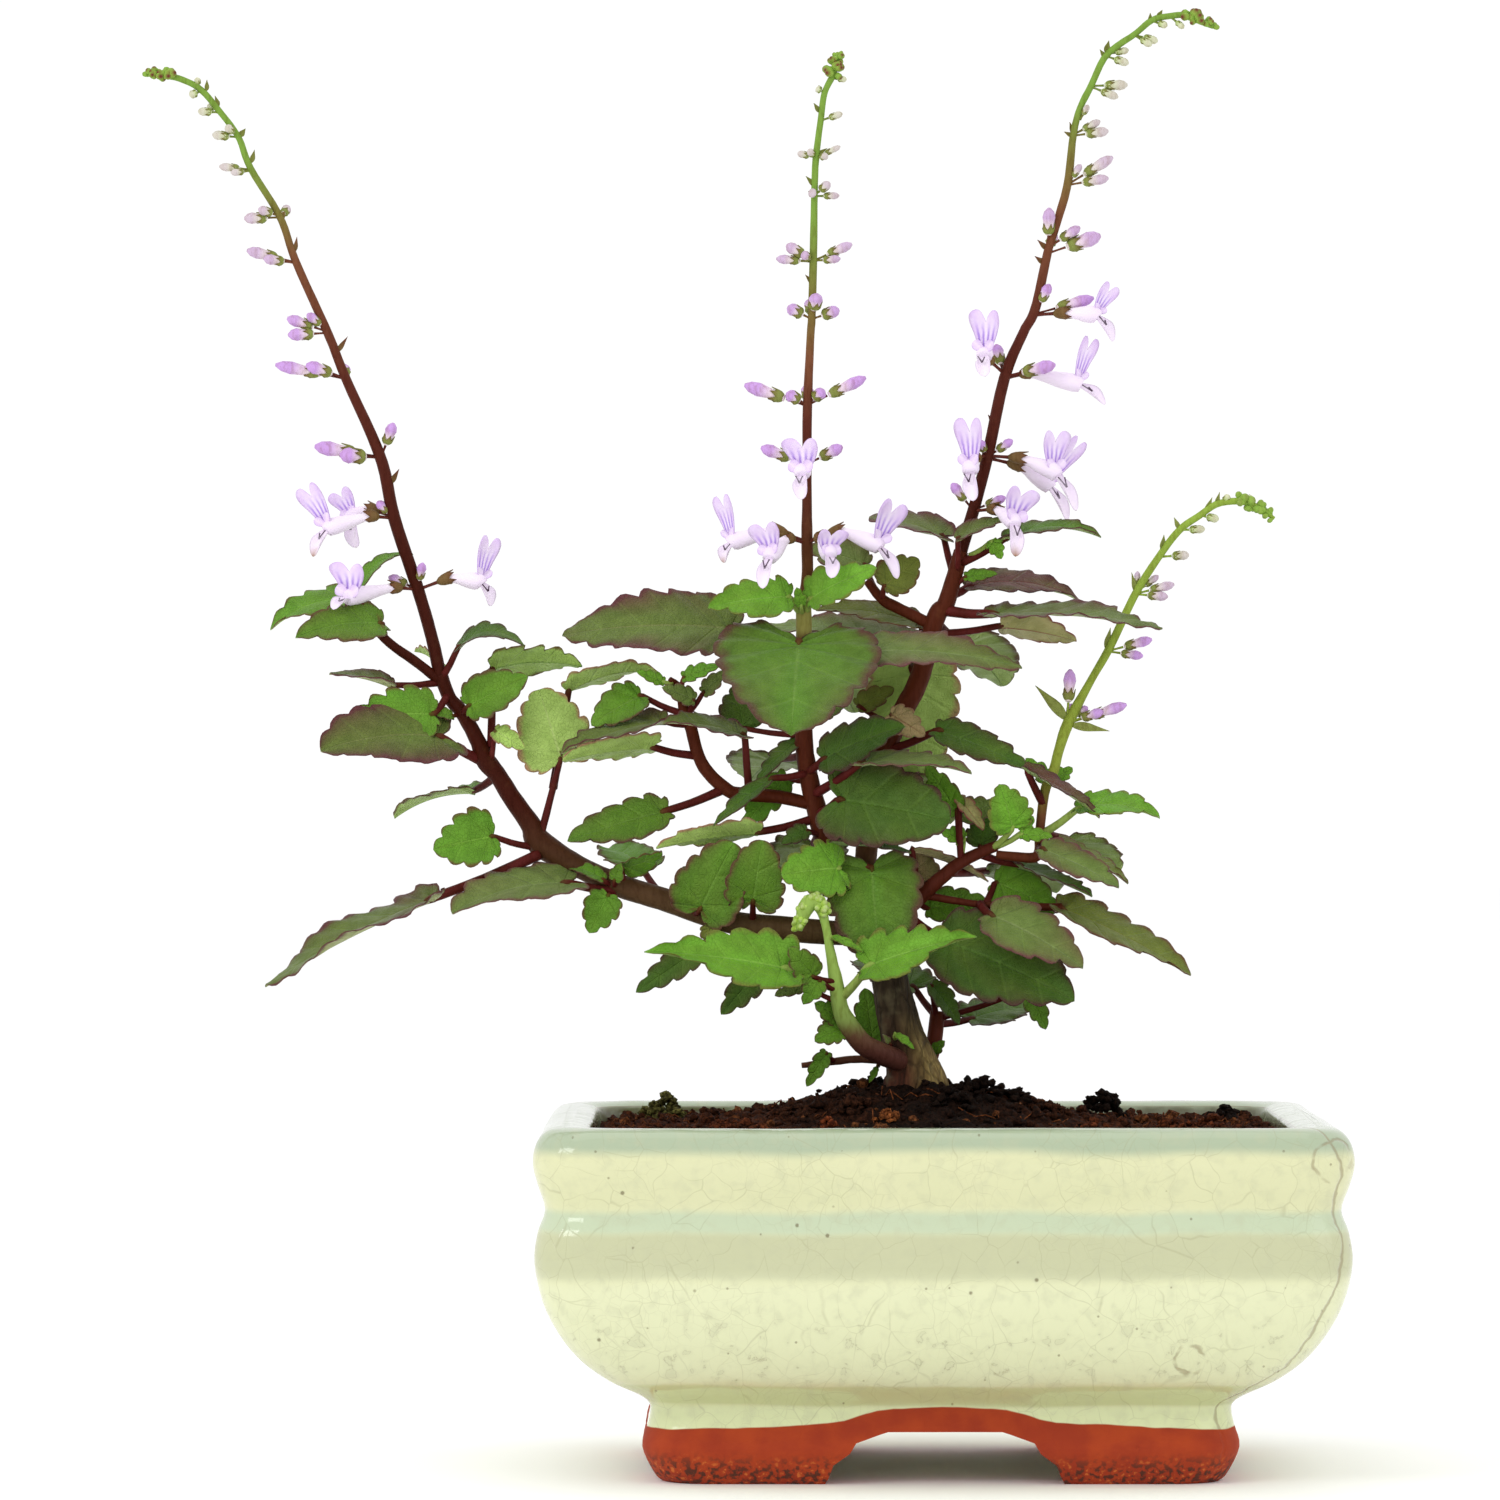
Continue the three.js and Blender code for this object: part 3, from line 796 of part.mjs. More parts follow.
const farSpikeTop = wasm.Manifold.union([
  ...FAR_SPIKE_BUDS.map(budSolid),
  ...FAR_SPIKE_BRACTS.map(bractSolid),
]);
const leafyPieces = {
  left_branch: leafyStem(LEFT_BRANCH_STEMS, LEFT_BRANCH_LEAVES),
  middle_stem: leafyStem(MIDDLE_STEM_STEMS, MIDDLE_STEM_LEAVES),
  right_stem: leafyStem(RIGHT_STEM_STEMS, RIGHT_STEM_LEAVES).subtract(middleClear),
  side_branch: leafyStem(SIDE_BRANCH_STEMS, SIDE_BRANCH_LEAVES),
  far_spike: leafyStem([FAR_SPIKE_STEM], FAR_SPIKE_LEAVES).add(farSpikeTop).subtract(sideClear),
  front_shoot: leafyStem(FRONT_SHOOT_STEMS, FRONT_SHOOT_LEAVES),
  base_twig: leafyStem(BASE_TWIG_STEMS, []),
  back_stub: leafyStem(BACK_STUB_STEMS, BACK_STUB_LEAVES),
};
for (const [name, solid] of Object.entries(leafyPieces)) {
  addPiece(name, solid.subtract(trunkClear), FINISHES.leaf);
}

const spikes = {
  left: [LEFT_SPIKE_STEM, LEFT_SPIKE_BUDS, LEFT_SPIKE_BRACTS],
  middle: [MIDDLE_SPIKE_STEM, MIDDLE_SPIKE_BUDS, MIDDLE_SPIKE_BRACTS],
  right: [RIGHT_SPIKE_STEM, RIGHT_SPIKE_BUDS, RIGHT_SPIKE_BRACTS],
};
for (const [side, [stem, buds, bracts]] of Object.entries(spikes)) {
  const flowers = FLOWERS.filter(([name]) => name.startsWith(side));
  addPiece(`${side}_spike`, flowerSpike(stem, buds, bracts, flowers), FINISHES.spike);
}
for (const flower of FLOWERS) {
  addPiece(flower[0], flowerSolid(flower), FINISHES.bloom);
}

// The object stands on z = 0 with its box centred on the origin.
const box = new THREE.Box3().setFromObject(plant);
const shift = new THREE.Vector3(-(box.min.x + box.max.x) / 2, -(box.min.y + box.max.y) / 2, -box.min.z);
for (const piece of plant.children) {
  piece.geometry.translate(shift.x, shift.y, shift.z);
}

export default plant;
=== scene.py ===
"""Potted plectranthus in a glazed footed tray pot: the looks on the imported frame.

Points in the tables are x y z in millimetres: x and z as seen by the camera on the
plane y = 0, y the true depth behind it. at() turns them into true places."""
import math
import random

import bpy
from mathutils import Matrix, Vector, noise


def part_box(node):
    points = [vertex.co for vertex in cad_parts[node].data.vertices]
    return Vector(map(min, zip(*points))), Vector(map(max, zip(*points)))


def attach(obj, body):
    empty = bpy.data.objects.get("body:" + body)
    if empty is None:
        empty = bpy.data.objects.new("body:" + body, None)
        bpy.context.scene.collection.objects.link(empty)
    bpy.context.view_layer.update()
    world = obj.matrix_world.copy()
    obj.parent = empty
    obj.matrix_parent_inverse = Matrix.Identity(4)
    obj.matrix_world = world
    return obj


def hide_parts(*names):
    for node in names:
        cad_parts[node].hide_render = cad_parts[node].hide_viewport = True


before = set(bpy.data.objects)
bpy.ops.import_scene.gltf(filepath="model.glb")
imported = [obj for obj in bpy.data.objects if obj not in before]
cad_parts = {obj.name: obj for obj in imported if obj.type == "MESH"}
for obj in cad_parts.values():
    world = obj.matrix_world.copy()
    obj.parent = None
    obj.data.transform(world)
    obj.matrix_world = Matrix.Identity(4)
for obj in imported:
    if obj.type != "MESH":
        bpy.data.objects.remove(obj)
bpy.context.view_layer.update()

# Sizes in millimetres, as in the solids
MM = 0.001
GROUND = -0.3
POT_CENTRE_X = -0.6
POT_INSET = 16
RIM_TOP = 66
POT_FLOOR = 16.5
RECESS_TOP = 11.2
FOOT_RING_INNER = (45, 28)
FRONT_ARCH = {"bottom": 21.4, "top": 10.5, "height": 9.5}
SIDE_ARCH = {"bottom": 14, "top": 7.5, "height": 8.5}
DRAIN_RADIUS = 4.5
DRAIN_X = 24
CORNER_RADIUS = 9
RECESS_CORNER = 6
SOIL_HALF = 64.1
VIEW_DISTANCE = 1400
VIEW_X = -35.85
VIEW_Z = 134.7
LENS = 178.08

# Lengths that scene.py alone decides, in millimetres; a leaf of a length in WAVE_LENGTHS
# or more has one wave more in its margin
SCALLOP_LIMIT = 5.2
VEIN_GAP = 4.5
WAVE_LENGTHS = (15, 29)
BLADE_THICK = 0.34
RIB_THICK = 0.56
SPIKE_FOOT = 2.2
TIP_STEP = 0.2
CALYX_MOUTH = 1.15
LOWER_LIP_WIDTH = 2.9
PETAL_THICK = 0.2
GLAZE_EDGE = 9.8
SEAM_RUN = 6.4
CRUMB_CLEARANCE = 5.8
FIBRE_CLEARANCE = 8
CRUMB_MARGIN = 1.4
FIBRE_MARGIN = 1.5
CRUMB_FIELD = ((-64, 63), (-48, 48))
FIBRE_FIELD = ((-58, 57), (-44, 44))
TRUNK_START = 60

# Shares, counts and an angle in degrees; CALYX_RINGS is (fraction of the length, share of
# the mouth's radius)
STEPS_PER_SCALLOP = 6
BITE = 0.22
YOUNG_BITE = 0.34
VEIN_LEAN = 0.75
CRUMPLE = 0.018
BUD_SWELL = 1.08
CALYX_RINGS = ((0.6, 0.3), (0.68, 0.66), (0.8, 0.9), (0.93, 1), (1, 1.1))
SOIL_CRUMBS = 2300
SOIL_FIBRES = 90
SHARP_ANGLE = 38
STUDIO_WHITE = 1.04
SEED = 7

pot_low, pot_high = (Vector(corner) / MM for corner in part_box("pot"))
SHIFT = Vector((
    (pot_low.x + pot_high.x) / 2 - POT_CENTRE_X,
    (pot_low.y + pot_high.y) / 2,
    pot_low.z - GROUND,
))
draw = random.Random(SEED)


def table(text, *groups):
    """The text's rows of numbers and words, each row cut into groups of these sizes."""
    words = [word if word[0].isalpha() else float(word) for word in text.split()]
    rows = []
    while words:
        row = []
        for size in groups:
            row.append(words[0] if size == 1 else tuple(words[:size]))
            words = words[size:]
        rows.append(row[0] if len(groups) == 1 else tuple(row))
    return rows


def tables(texts, *groups):
    return {name: table(text, *groups) for name, text in texts.items()}


# Stems: x y z radius
TRUNK = table("""
-4.6 0 46 5  -4.8 0 66 6.2  -5 0 72 6  -5.4 0 75 5.1  -7 0 80 4.3  -8.5 0 86 3.8  -9.8 0 92 3.5
-11.5 1 98 3.3  -13.5 1 104 3  -14.5 2 110 2.5
""", 4)
STEMS = {name: [table(stem, 4) for stem in text.split("/")] for name, text in {
"left_branch": """
-12 1 99.8 2  -20 1 100.2 2.3  -28.4 1 100.9 2.4  -39.8 2 102.3 2.2  -51.2 3 106.2 2.2
-60.4 4 109.1 2.2  -68 5 112.6 2.1  -75.3 6 117 2.5  -77.2 6 120.6 2  -80.6 6.5 125.4 1.8
-83.2 7 129.6 1.7  -85.8 7 132.9 1.9  -87.3 7 136.6 1.5  -90.3 7.5 141.9 1.35  -92.5 8 144.5 1.3
-94.2 8 148.9 1.4 /
-94.4 8 147.8 1  -99 7 151.4 0.95  -104 6 155 0.9  -107.3 5 158.6 0.8
""",
"middle_stem": """
-14.5 2 106 2  -17.8 2 111.5 2  -21.3 2 116.8 2  -23.6 2 124.7 1.9  -25.1 2 131.5 1.8
-25.7 2 137.9 1.7  -25.7 2 150 1.6  -25.7 2 159.6 1.5  -25.8 2 162.2 1.6 /
-24.2 2 124.4 1.2  -30 3 125.8 1.3  -37.5 3 126.4 1.3  -40.2 3 127.2 1.3  -43.8 3 130.5 1.25
-45.9 2 134.5 1.2  -47.1 2 139.3 1.2  -48.3 2 142 1.1  -49.2 2 146.5 0.7  -51 1 148 0.6
""",
"right_stem": """
-14.4 2 108 2  -14 3 114 2.1  -13.2 4 122 2.1  -11.5 5 132.3 2.1  -7.4 5 141.1 2  -3.8 5 148.5 1.9
-0.8 5 159.6 1.8  1.1 5 162.3 1.7  2.9 5 168.3 1.5  4 5 172.2 1.4 /
-0.9 5 158 1.1  -7.7 6 161.4 1.1  -11 7 163.2 1  -13.7 8 166.6 0.8
""",
"side_branch": """
-12 0.6 100.6 1.6  -8 -1.4 103.8 1.6  -4.6 -2 106.4 1.6  0 -3 110.4 1.4  4.1 -3 113.6 1.2
9.6 -3 116.2 1.1  10.8 -3 116.6 1 /
-3.4 -2 107.4 0.8  3 -2 106.2 0.7  9.4 -2 105.4 0.7  16 -2 105.2 0.7  23 -2 105 0.8
""",
"far_spike": """
10.6 -3 115 0.8  14 -3 114.6 0.9  17.6 -3 114.4 1  18.7 -3 115.6 1  18.8 -3 119 0.9
19.8 -3 127 0.95  21.5 -2 130.9 1  22.4 -0.4 134.6 0.95  24.2 2 139.8 1.1  28.3 4 147.5 0.75
32 5 154 0.8  37 5 164.4 0.75  42.1 3.9 172.3 0.7  45.4 2.5 176.4 0.7  48.9 2.4 178.9 0.65
52.5 2.3 181.2 0.9  57.2 2.3 181.6 1.1  60 2.3 180.3 0.9  63.1 2.4 178.4 0.3
""",
"front_shoot": """
-6.5 -1.5 75.6 2  -8.6 -4.4 76.4 2.1  -11.6 -7 77.6 2.1  -14.6 -9 79.3 2  -17.3 -10 82.8 1.9
-18.8 -10.5 86 1.6  -19.6 -10.5 90.6 1.4  -20.6 -10.5 96.2 0.95  -21.6 -10.5 101.5 0.8
-22.4 -10.8 104.6 1.1  -24 -11 106.2 1.5  -25.6 -11 104.4 1.5  -26.6 -11 100.6 0.6
""",
"base_twig": """
-8 1.6 75.8 0.8  -14.7 2 76.4 0.75  -20 1.5 75.9 0.7  -26.1 1 75.2 0.5
""",
"back_stub": """
-3.6 4 72.6 1.6  -1.8 5 77 1.6  -0.9 6 81 1.5  -0.5 6 85.4 1.4
""",
}.items()}
# Leaves: stalk start, blade base, tip, upper side, width, shape, fold, bend, wave, look
LEAVES = tables({
"left_branch": """
-105 5.5 156.5 -105.4 1.4 158.6 -121.6 -5 156 0.1 -0.8 0.6 10 ovate 0.2 0.1 0.05 spot
-106.8 5 158 -108.5 10.5 163 -126.4 12 157.5 0 -0.55 0.83 10 ovate 0.2 0.14 0.08 bright
-106.5 5 157.6 -109.8 7 164.3 -99.5 11 171.8 -0.5 -0.5 0.7 5 lance 0.2 0.2 0 green
-94 7.5 148.3 -90.8 6 154.2 -78.5 4 154.6 0 -0.5 0.86 6.5 ovate 0.2 0.25 0.03 dark
-84.7 7 135.2 -84.4 10 150.4 -67.5 12 150.6 0 0.55 0.83 11 ovate 0.1 0.08 0.05 bright
-90.3 7.5 141.6 -89 4 143 -77.8 1 148.6 -0.1 -0.93 0.35 9.5 ovate 0.2 0.03 0.05 green
-90.5 7.5 141.8 -92 6 141.2 -95.4 4 141.4 0 -0.8 0.5 3 ovate 0.2 0.1 0 green
-92.9 7.5 145 -95.6 3 141.5 -111 -1 141 0 -0.95 0.3 11.5 ovate 0.15 0.05 0.05 bright
-87 7 132.9 -94.3 2 137.2 -116.8 -9 134.6 0.15 -0.7 0.7 17 heart 0.2 0.08 0.05 purple
-94.8 8 147.4 -103.5 6 147 -115.2 4 149.2 0.1 -0.2 0.97 8 ovate 0.25 0.05 0.06 purple
-93.6 8.5 147.8 -94.5 12 150.8 -99 17 153.5 0.2 0.4 0.9 6 ovate 0.2 0.1 0 pale
-76.8 5.5 116.4 -84.3 2 118.4 -95.6 -1 116 0.1 -0.92 0.35 12 ovate 0.25 0.03 0.08 bright
-75.6 4.5 115 -95.5 -1 106.8 -127.4 -8 90.2 -0.45 -0.22 0.87 17 ovate 0.2 0.03 0.06 purple
-59.5 4 108 -70.5 0 109.6 -92.1 -6 104 -0.2 -0.5 0.85 14 heart 0.2 0.08 0.06 grey
-59.6 3.5 108.8 -60 1.5 112.4 -52.4 -1 115.2 -0.2 -0.4 -0.8 6.5 ovate 0.2 0.05 0.05 bright
-61.4 3 109 -61.4 0.5 110.2 -60.2 -2 113.3 0 -0.9 0.3 3.2 ovate 0.2 0 0 green
-62 3 109.4 -63.6 1 110.3 -70.2 4 112.5 0 -0.6 0.8 4 ovate 0.3 0.1 0 green
-61.6 3.5 108 -62.6 1 107.4 -66.2 -1 100.2 0 -1 0.1 7.5 ovate 0.15 0.02 0.05 bright
-75.4 5.5 118.4 -71.6 5 133.4 -75.6 10 146 0 0.93 -0.3 15 heart 0.1 0.06 0.05 pale
-73 5.3 127.5 -70 13 146.2 -53 10 149.4 0 0.4 0.9 8 ovate 0.2 0.1 0.08 pale
-84.6 6 133.2 -84 4 138.3 -78.4 3 134.8 0 -0.8 0.5 4.5 ovate 0.2 0.05 0.03 pale
-43 2 102 -43.2 -1 101.4 -43.9 -3 97.6 0 -0.9 0.3 4 ovate 0.2 0.05 0 olive
-41.5 2 101.6 -45.5 -1.5 97 -57.4 -4 89 0.4 -0.75 0.4 6 ovate 0.25 0.03 0.03 dark
-34.5 1 99.8 -33.5 -2 94 -41.3 -4 84.8 0.3 -0.8 0.3 6.5 ovate 0.25 0.03 0.03 dark
-46.5 2 104 -45.3 -1.5 104.6 -39 -5 117.2 0 -0.97 0.15 14 heart 0.12 0.04 0.04 spot
-35.3 1 102.5 -35.3 -3.5 106 -33.6 -7.5 117.6 0 -0.97 0.1 11.5 heart 0.12 0.04 0.03 spot
-83.6 7.5 130 -88 14 127 -103 22 122 0.2 -0.2 0.95 12 ovate 0.2 0.08 0.05 green
-52 3.5 106.8 -56 12 112 -63 26 116 0 -0.3 0.95 12 ovate 0.2 0.08 0.05 green
-40 2.5 103 -43 11 107 -46 25 112 0 -0.3 0.95 12 ovate 0.2 0.08 0.05 green
""",
"middle_stem": """
-26.2 1.6 160.6 -28.3 0 163.6 -43.8 -4 161.6 0.05 -0.85 0.5 9.5 ovate 0.2 0.06 0.07 young
-25.4 1.6 160.8 -24.6 -1 163.2 -12 -4 169.2 -0.1 -0.85 0.5 9 ovate 0.2 0.06 0.07 young
-26 1 160.6 -26.2 -1.2 162 -27 -3 165.3 0 -0.95 0.2 2.8 ovate 0.2 0 0 young
-25.9 1.6 151 -26.6 -4 155.2 -28.1 -24 137.6 0 -0.63 0.78 31 heart 0.16 0.06 0.03 mature
-25 1.6 151.6 -17 -3 153.2 15.5 -9 150.3 0.05 -0.5 0.86 14 ovate 0.12 0.05 0.03 grey
-26.6 2.5 152.6 -38.8 6 157.6 -71.3 5 156.4 0 -0.7 0.72 18 ovate 0.15 0.05 0.03 purple
-25.6 2.6 137.5 -37 8 138.8 -38.6 10 147 0 -0.9 0.4 9 ovate 0.2 0.05 0.03 dark
-24.9 1 130.6 -22 -2 133 -6.6 -8 139.2 -0.1 -0.8 0.6 11 ovate 0.15 0.05 0.04 dark
-25.4 1 140 -22 0 141 -17.4 -2 143.7 0 -0.8 0.5 3 ovate 0.2 0 0 grey
-23.6 1 126.4 -15 -8 132.2 6 -14 130.4 0.05 -0.24 0.97 13 ovate 0.15 0.06 0.03 grey
-22.8 1 122.6 -19 -5 125.4 1.9 -11 121.4 0.1 -0.95 0.25 17.5 heart 0.1 0.05 0.03 dark
-25.6 1.6 137.4 -27 3.2 136.2 -34.6 -1 128.6 -0.4 -0.6 0.6 5 ovate 0.2 0.05 0.03 dark
-25 1 130.4 -31.6 -2 129.4 -42.8 -5 120.6 -0.5 -0.6 0.5 5 lance 0.25 0.02 0.03 dark
-24.8 2 129 -29 6 129.6 -37.6 6.5 119.5 0 -0.9 0.3 6.5 ovate 0.2 0.05 0.03 bright
-23.4 2 121.8 -34.6 0 119.2 -53.6 -4 116.3 0.1 0.5 0.86 9 ovate 0.2 0.03 0.05 pale
-22.6 1 118.8 -25 -0.5 119.6 -30 -2 117 0 -0.8 0.5 4.2 ovate 0.2 0.05 0 dark
-20.4 0.6 114.6 -19 -5.5 112.4 -29.8 -10 111.2 0 -0.97 0.25 11.5 heart 0.1 0.06 0.02 young
-21 1.4 116.6 -19.6 -4 117.2 -5.4 -7 115.4 0.05 -0.2 0.98 9 ovate 0.25 0.04 0.05 dark
-19 1 113.2 -13 -3.6 112.6 -11.4 -9 94.6 0 -0.95 -0.3 19 heart 0.1 0.05 0.02 mature
-41 3 127.2 -51.8 0 123.2 -70.3 -4 117.6 -0.1 -0.85 0.5 9.5 ovate 0.12 0.03 0.05 mature
-47.2 2 139.8 -52 0 140.2 -71.6 -3 134.2 -0.25 -0.28 0.93 12 ovate 0.2 0.04 0.06 purple
-46 2.4 133.6 -54.8 0 135.4 -71.2 -3 132.8 -0.05 0.45 0.89 10 heart 0.15 0.03 0.04 pale
-48.2 2 141.4 -56.4 4 145 -65.8 1 139.4 -0.2 -0.8 0.5 9 ovate 0.2 0.05 0.05 green
-36 2.6 126.6 -36.9 -1 137.4 -52.2 -7 140 0.1 -0.36 0.93 10.5 ovate 0.2 0.05 0.04 purple
-48 2 141.2 -46.4 1 144.2 -52.4 -1 146.6 0 -0.9 0.4 4.2 ovate 0.2 0.02 0 grey
-47.8 2 141.2 -44.6 2 145.6 -40.3 0 149.6 -0.2 -0.9 0.3 3.8 ovate 0.2 0.02 0 grey
-49 2 146 -48.4 0 148.4 -41.6 -1.5 150.6 0 -0.8 0.5 3.8 ovate 0.2 0.04 0 bright
-50.4 1.2 147.4 -52.2 1 147.6 -57.2 0 149.6 0 -0.8 0.5 3 ovate 0.2 0 0 young
-25.4 3 154 -22 14 150 -16 30 142 0.1 0.5 0.86 18 heart 0.12 0.05 0.04 mature
-25.2 3 134 -31 14 133 -36 30 129 0 0.45 0.9 16 heart 0.12 0.05 0.04 mature
-22.6 3 120 -24 12 117 -27 26 110 0 0.5 0.86 15 heart 0.12 0.05 0.04 mature
""",
"right_stem": """
2.6 5.4 167.6 0.6 9 175 -13.4 9 178.6 0.15 -0.35 0.92 12 heart 0.2 0.06 0.06 purple
3.4 4.4 168.4 3.4 0.6 174.6 12.6 0 178.4 -0.1 -0.4 0.9 7 ovate 0.2 0.06 0.04 purple
4 4.4 170 12.6 3 174.8 30.4 2 175 0 -0.32 0.95 8 ovate 0.2 0.12 0.08 mature
5.6 4 171.4 9.8 2 174.2 11.6 1 170.8 0 -0.9 0.3 3.6 ovate 0.2 0 0 young
2 5.4 164 5.6 8 165.6 26.4 12 163 0 -0.4 0.92 12 ovate 0.15 0.1 0.04 maroon
1.2 4.6 161 9.6 0 160.4 42 -8 157.8 0.05 -0.2 0.98 17 ovate 0.12 0.04 0.03 purple
-1 5.4 156.6 11.8 7 158.2 25.8 10 155.4 0 0.6 0.8 9 ovate 0.2 0.04 0.05 pink
2.6 5 166 4.8 4 167.4 10.8 3 168 0 -0.8 0.5 3.2 ovate 0.2 0 0 green
-11 7 162.8 -10.6 5 165.6 -4 7 170.8 0 -0.9 0.3 8.5 ovate 0.2 0.03 0.03 olive
-12.4 7.4 165 -14 11 169.6 -25 14 173 0 -0.85 0.5 8 ovate 0.2 0.05 0.03 grey
-2.4 5.4 154 -3.6 8 158.4 -23.4 11 161.2 0 -0.45 0.9 9 ovate 0.15 0.06 0.03 olive
-3 5.6 151.6 -5 9 154.6 -34 17 158 0 -0.35 0.93 14 ovate 0.15 0.04 0.03 grey
-4 6 147 -5.4 10 150.6 -4 15 129.6 0 0.97 0.25 18 heart 0.1 0.05 0.04 pale
-8.4 5 139.4 -15.4 7 143 -8.6 8 146.4 0 -0.9 0.4 5 ovate 0.2 0.02 0 olive
-9.6 4.4 136.8 -9.4 1 141.4 -2.8 0 137.4 -0.2 -0.8 0.4 6 ovate 0.25 0.03 0.03 tan
-10.6 4.6 134.4 -0.4 0 138.4 16.6 -4 131.2 0.25 -0.78 0.58 8.4 ovate 0.15 0.04 0.04 dark
-0.6 5.8 158.8 4 16 155 12 30 147 0.1 0.5 0.86 16 heart 0.12 0.05 0.04 mature
-11.6 6 131 -8 16 128 2 28 121 0.1 0.5 0.86 15 heart 0.12 0.05 0.04 mature
""",
"side_branch": """
-4.2 -2 107.6 -5.3 0 116 9.2 2 110 0.3 0.3 0.9 5 lance 0.2 0.05 0.03 tan
-3.4 -1 108.4 -4 2.4 108.6 -4.4 3 116.2 0 -0.9 0.3 9 ovate 0.2 0.03 0.03 tan
4 -3 113.6 3.2 -4 123.2 -2.6 -6.5 132 -0.4 -0.8 0.2 6 ovate 0.2 0.03 0.03 green
3.9 -3.2 114 3.6 -4.6 125.4 8.3 -6 119.6 0.4 -0.7 0.4 4.2 ovate 0.3 0.02 0 pink
3.9 -2.6 114 3.8 1 122.4 11 3 124.8 -0.1 -0.9 0.4 6 ovate 0.15 0.02 0.03 grey
7 -2.6 115.2 7.6 1.4 116.6 8.4 3 122.6 0 -0.95 0.2 6.4 ovate 0.15 0.02 0.03 dark
4 -3 114.4 4.6 -2.6 118 0.2 -3 119.4 0 -0.9 0.4 4 ovate 0.2 0.02 0.03 young
10 -3.4 116.2 13.8 -5.6 120 11.2 -8.5 128.2 0.1 -0.95 0.2 9 ovate 0.2 0.04 0.06 young
10.4 -3.2 116.4 15.4 -5.5 118.8 21.2 -7 118.4 0 -0.8 0.5 3.6 ovate 0.2 0.02 0.04 young
10.4 -3.2 116.2 15.6 -5 119.4 17.6 -6 122.2 0.3 -0.8 0.2 3 ovate 0.2 0.02 0 young
7.6 -2.6 115 15 1.6 113 28.8 -3 107.2 0.42 -0.25 0.86 9 ovate 0.2 0.02 0.04 dark
22 -2 105 22.6 -2 105 47.4 -6 92.3 0.4 -0.45 0.78 13 ovate 0.2 0.03 0.04 olive
8.6 -2 105.6 10.4 1.4 109.8 22.4 1 104.4 0.2 -0.9 0.4 11 ovate 0.12 0.03 0.04 green
7.6 -2.4 105.6 9.6 -7.6 103.6 27 -13 93.6 0.35 -0.8 0.45 13 ovate 0.15 0.06 0.04 grey
-7 -1.2 104 0.6 -4.6 98.8 25.4 -9.5 87.4 0.15 -0.88 0.45 19 ovate 0.12 0.05 0.04 dark
-4.4 -1.2 106.4 -2.4 1.4 104.8 8.8 2 106.6 -0.1 -0.9 0.4 7.4 ovate 0.15 0.02 0.04 green
2 -1.4 111.6 9 10 112 22 24 108 0.2 0.4 0.88 15 heart 0.12 0.05 0.04 mature
""",
"far_spike": """
18.8 -3 118.6 26 -4.5 123.6 41.5 -7 122 0 -0.5 0.86 9.5 ovate 0.2 0.12 0.06 young
20.2 -2.8 128 20.6 0.2 128.6 16.2 2 133.2 0.2 -0.8 0.5 4.4 ovate 0.2 0.02 0.03 young
20.4 -2.8 128.2 21.4 0.2 128.8 25 1 131.4 -0.2 -0.8 0.5 4 ovate 0.2 0.02 0.03 young
19.4 -3.2 124.6 16.4 -6.6 131 30.2 -8 122 0.45 -0.25 0.8 8 ovate 0.25 0.04 0.05 maroon
18.9 -3.4 116.4 19.4 -9.5 116 33.8 -13 108.8 0.3 -0.65 0.66 9 ovate 0.15 0.04 0.04 grey
18.9 -2.6 116.6 21.4 1.4 117.4 35.6 2.4 109.6 0.45 -0.3 0.82 9 ovate 0.15 0.05 0.04 olive
19 -2 119.6 24 9 118 34 21 112 0.2 0.4 0.88 11 ovate 0.12 0.05 0.04 green
""",
"front_shoot": """
-18.6 -10.6 88 -13.4 -13 94 6.9 -18 99.6 0.1 -0.72 0.68 13 spear 0.3 0.04 0.08 young
-19.6 -10.6 90 -28.6 -14 93.4 -55.8 -19 96.7 -0.1 -0.78 0.6 14 spear 0.3 0.04 0.08 young
-19.6 -11 91 -24 -13.5 92 -28.4 -16.5 97.4 0 -0.95 0.2 6 ovate 0.2 0.04 0.04 green
-19.4 -11 89.4 -22.8 -13 91.2 -25.8 -15.5 86.8 0 -0.95 0.2 4.6 ovate 0.2 0.04 0 green
-18.8 -10.4 87 -25.6 -10 90.4 -31.2 -11 88.4 0 -0.85 0.4 3.4 ovate 0.2 0.04 0 grey
-17.8 -10 84 -19 -8 84 -23.6 -10 87 0 -0.9 0.3 4.6 ovate 0.2 0.04 0.03 green
-16.6 -10 81.8 -18.6 -9 82.2 -23.6 -11 79.8 0 -0.9 0.4 5.6 ovate 0.2 0.04 0.03 green
-21 -10.5 98.6 -20.6 -11 99.6 -14.4 -13 96.6 0.2 -0.6 0.6 2.4 lance 0.2 0.04 0 young
""",
"base_twig": """
-20 1.4 76 -21.4 -0.6 77.6 -25.2 -1 71.2 0 -0.95 0.2 3.6 ovate 0.2 0.04 0 green
-12.5 3 77 -12.6 3.4 79.8 -14.2 5 89.8 0 -0.95 0.2 7 ovate 0.2 0.04 0.05 green
-11.4 1.6 76 -11.8 -0.6 75 -13.4 -1.4 71.9 0 -0.95 0.2 1.6 lance 0.2 0.04 0 green
-8.4 -3.6 80.4 -8.5 -5.6 81.2 -4.8 -6.4 78.2 0.3 -0.9 0.3 1.9 lance 0.2 0.1 0 young
-9.4 -3.6 79 -9.5 -5.4 79.4 -10.7 -6.4 81 0 -0.9 0.3 1.5 lance 0.2 0.1 0 grey
""",
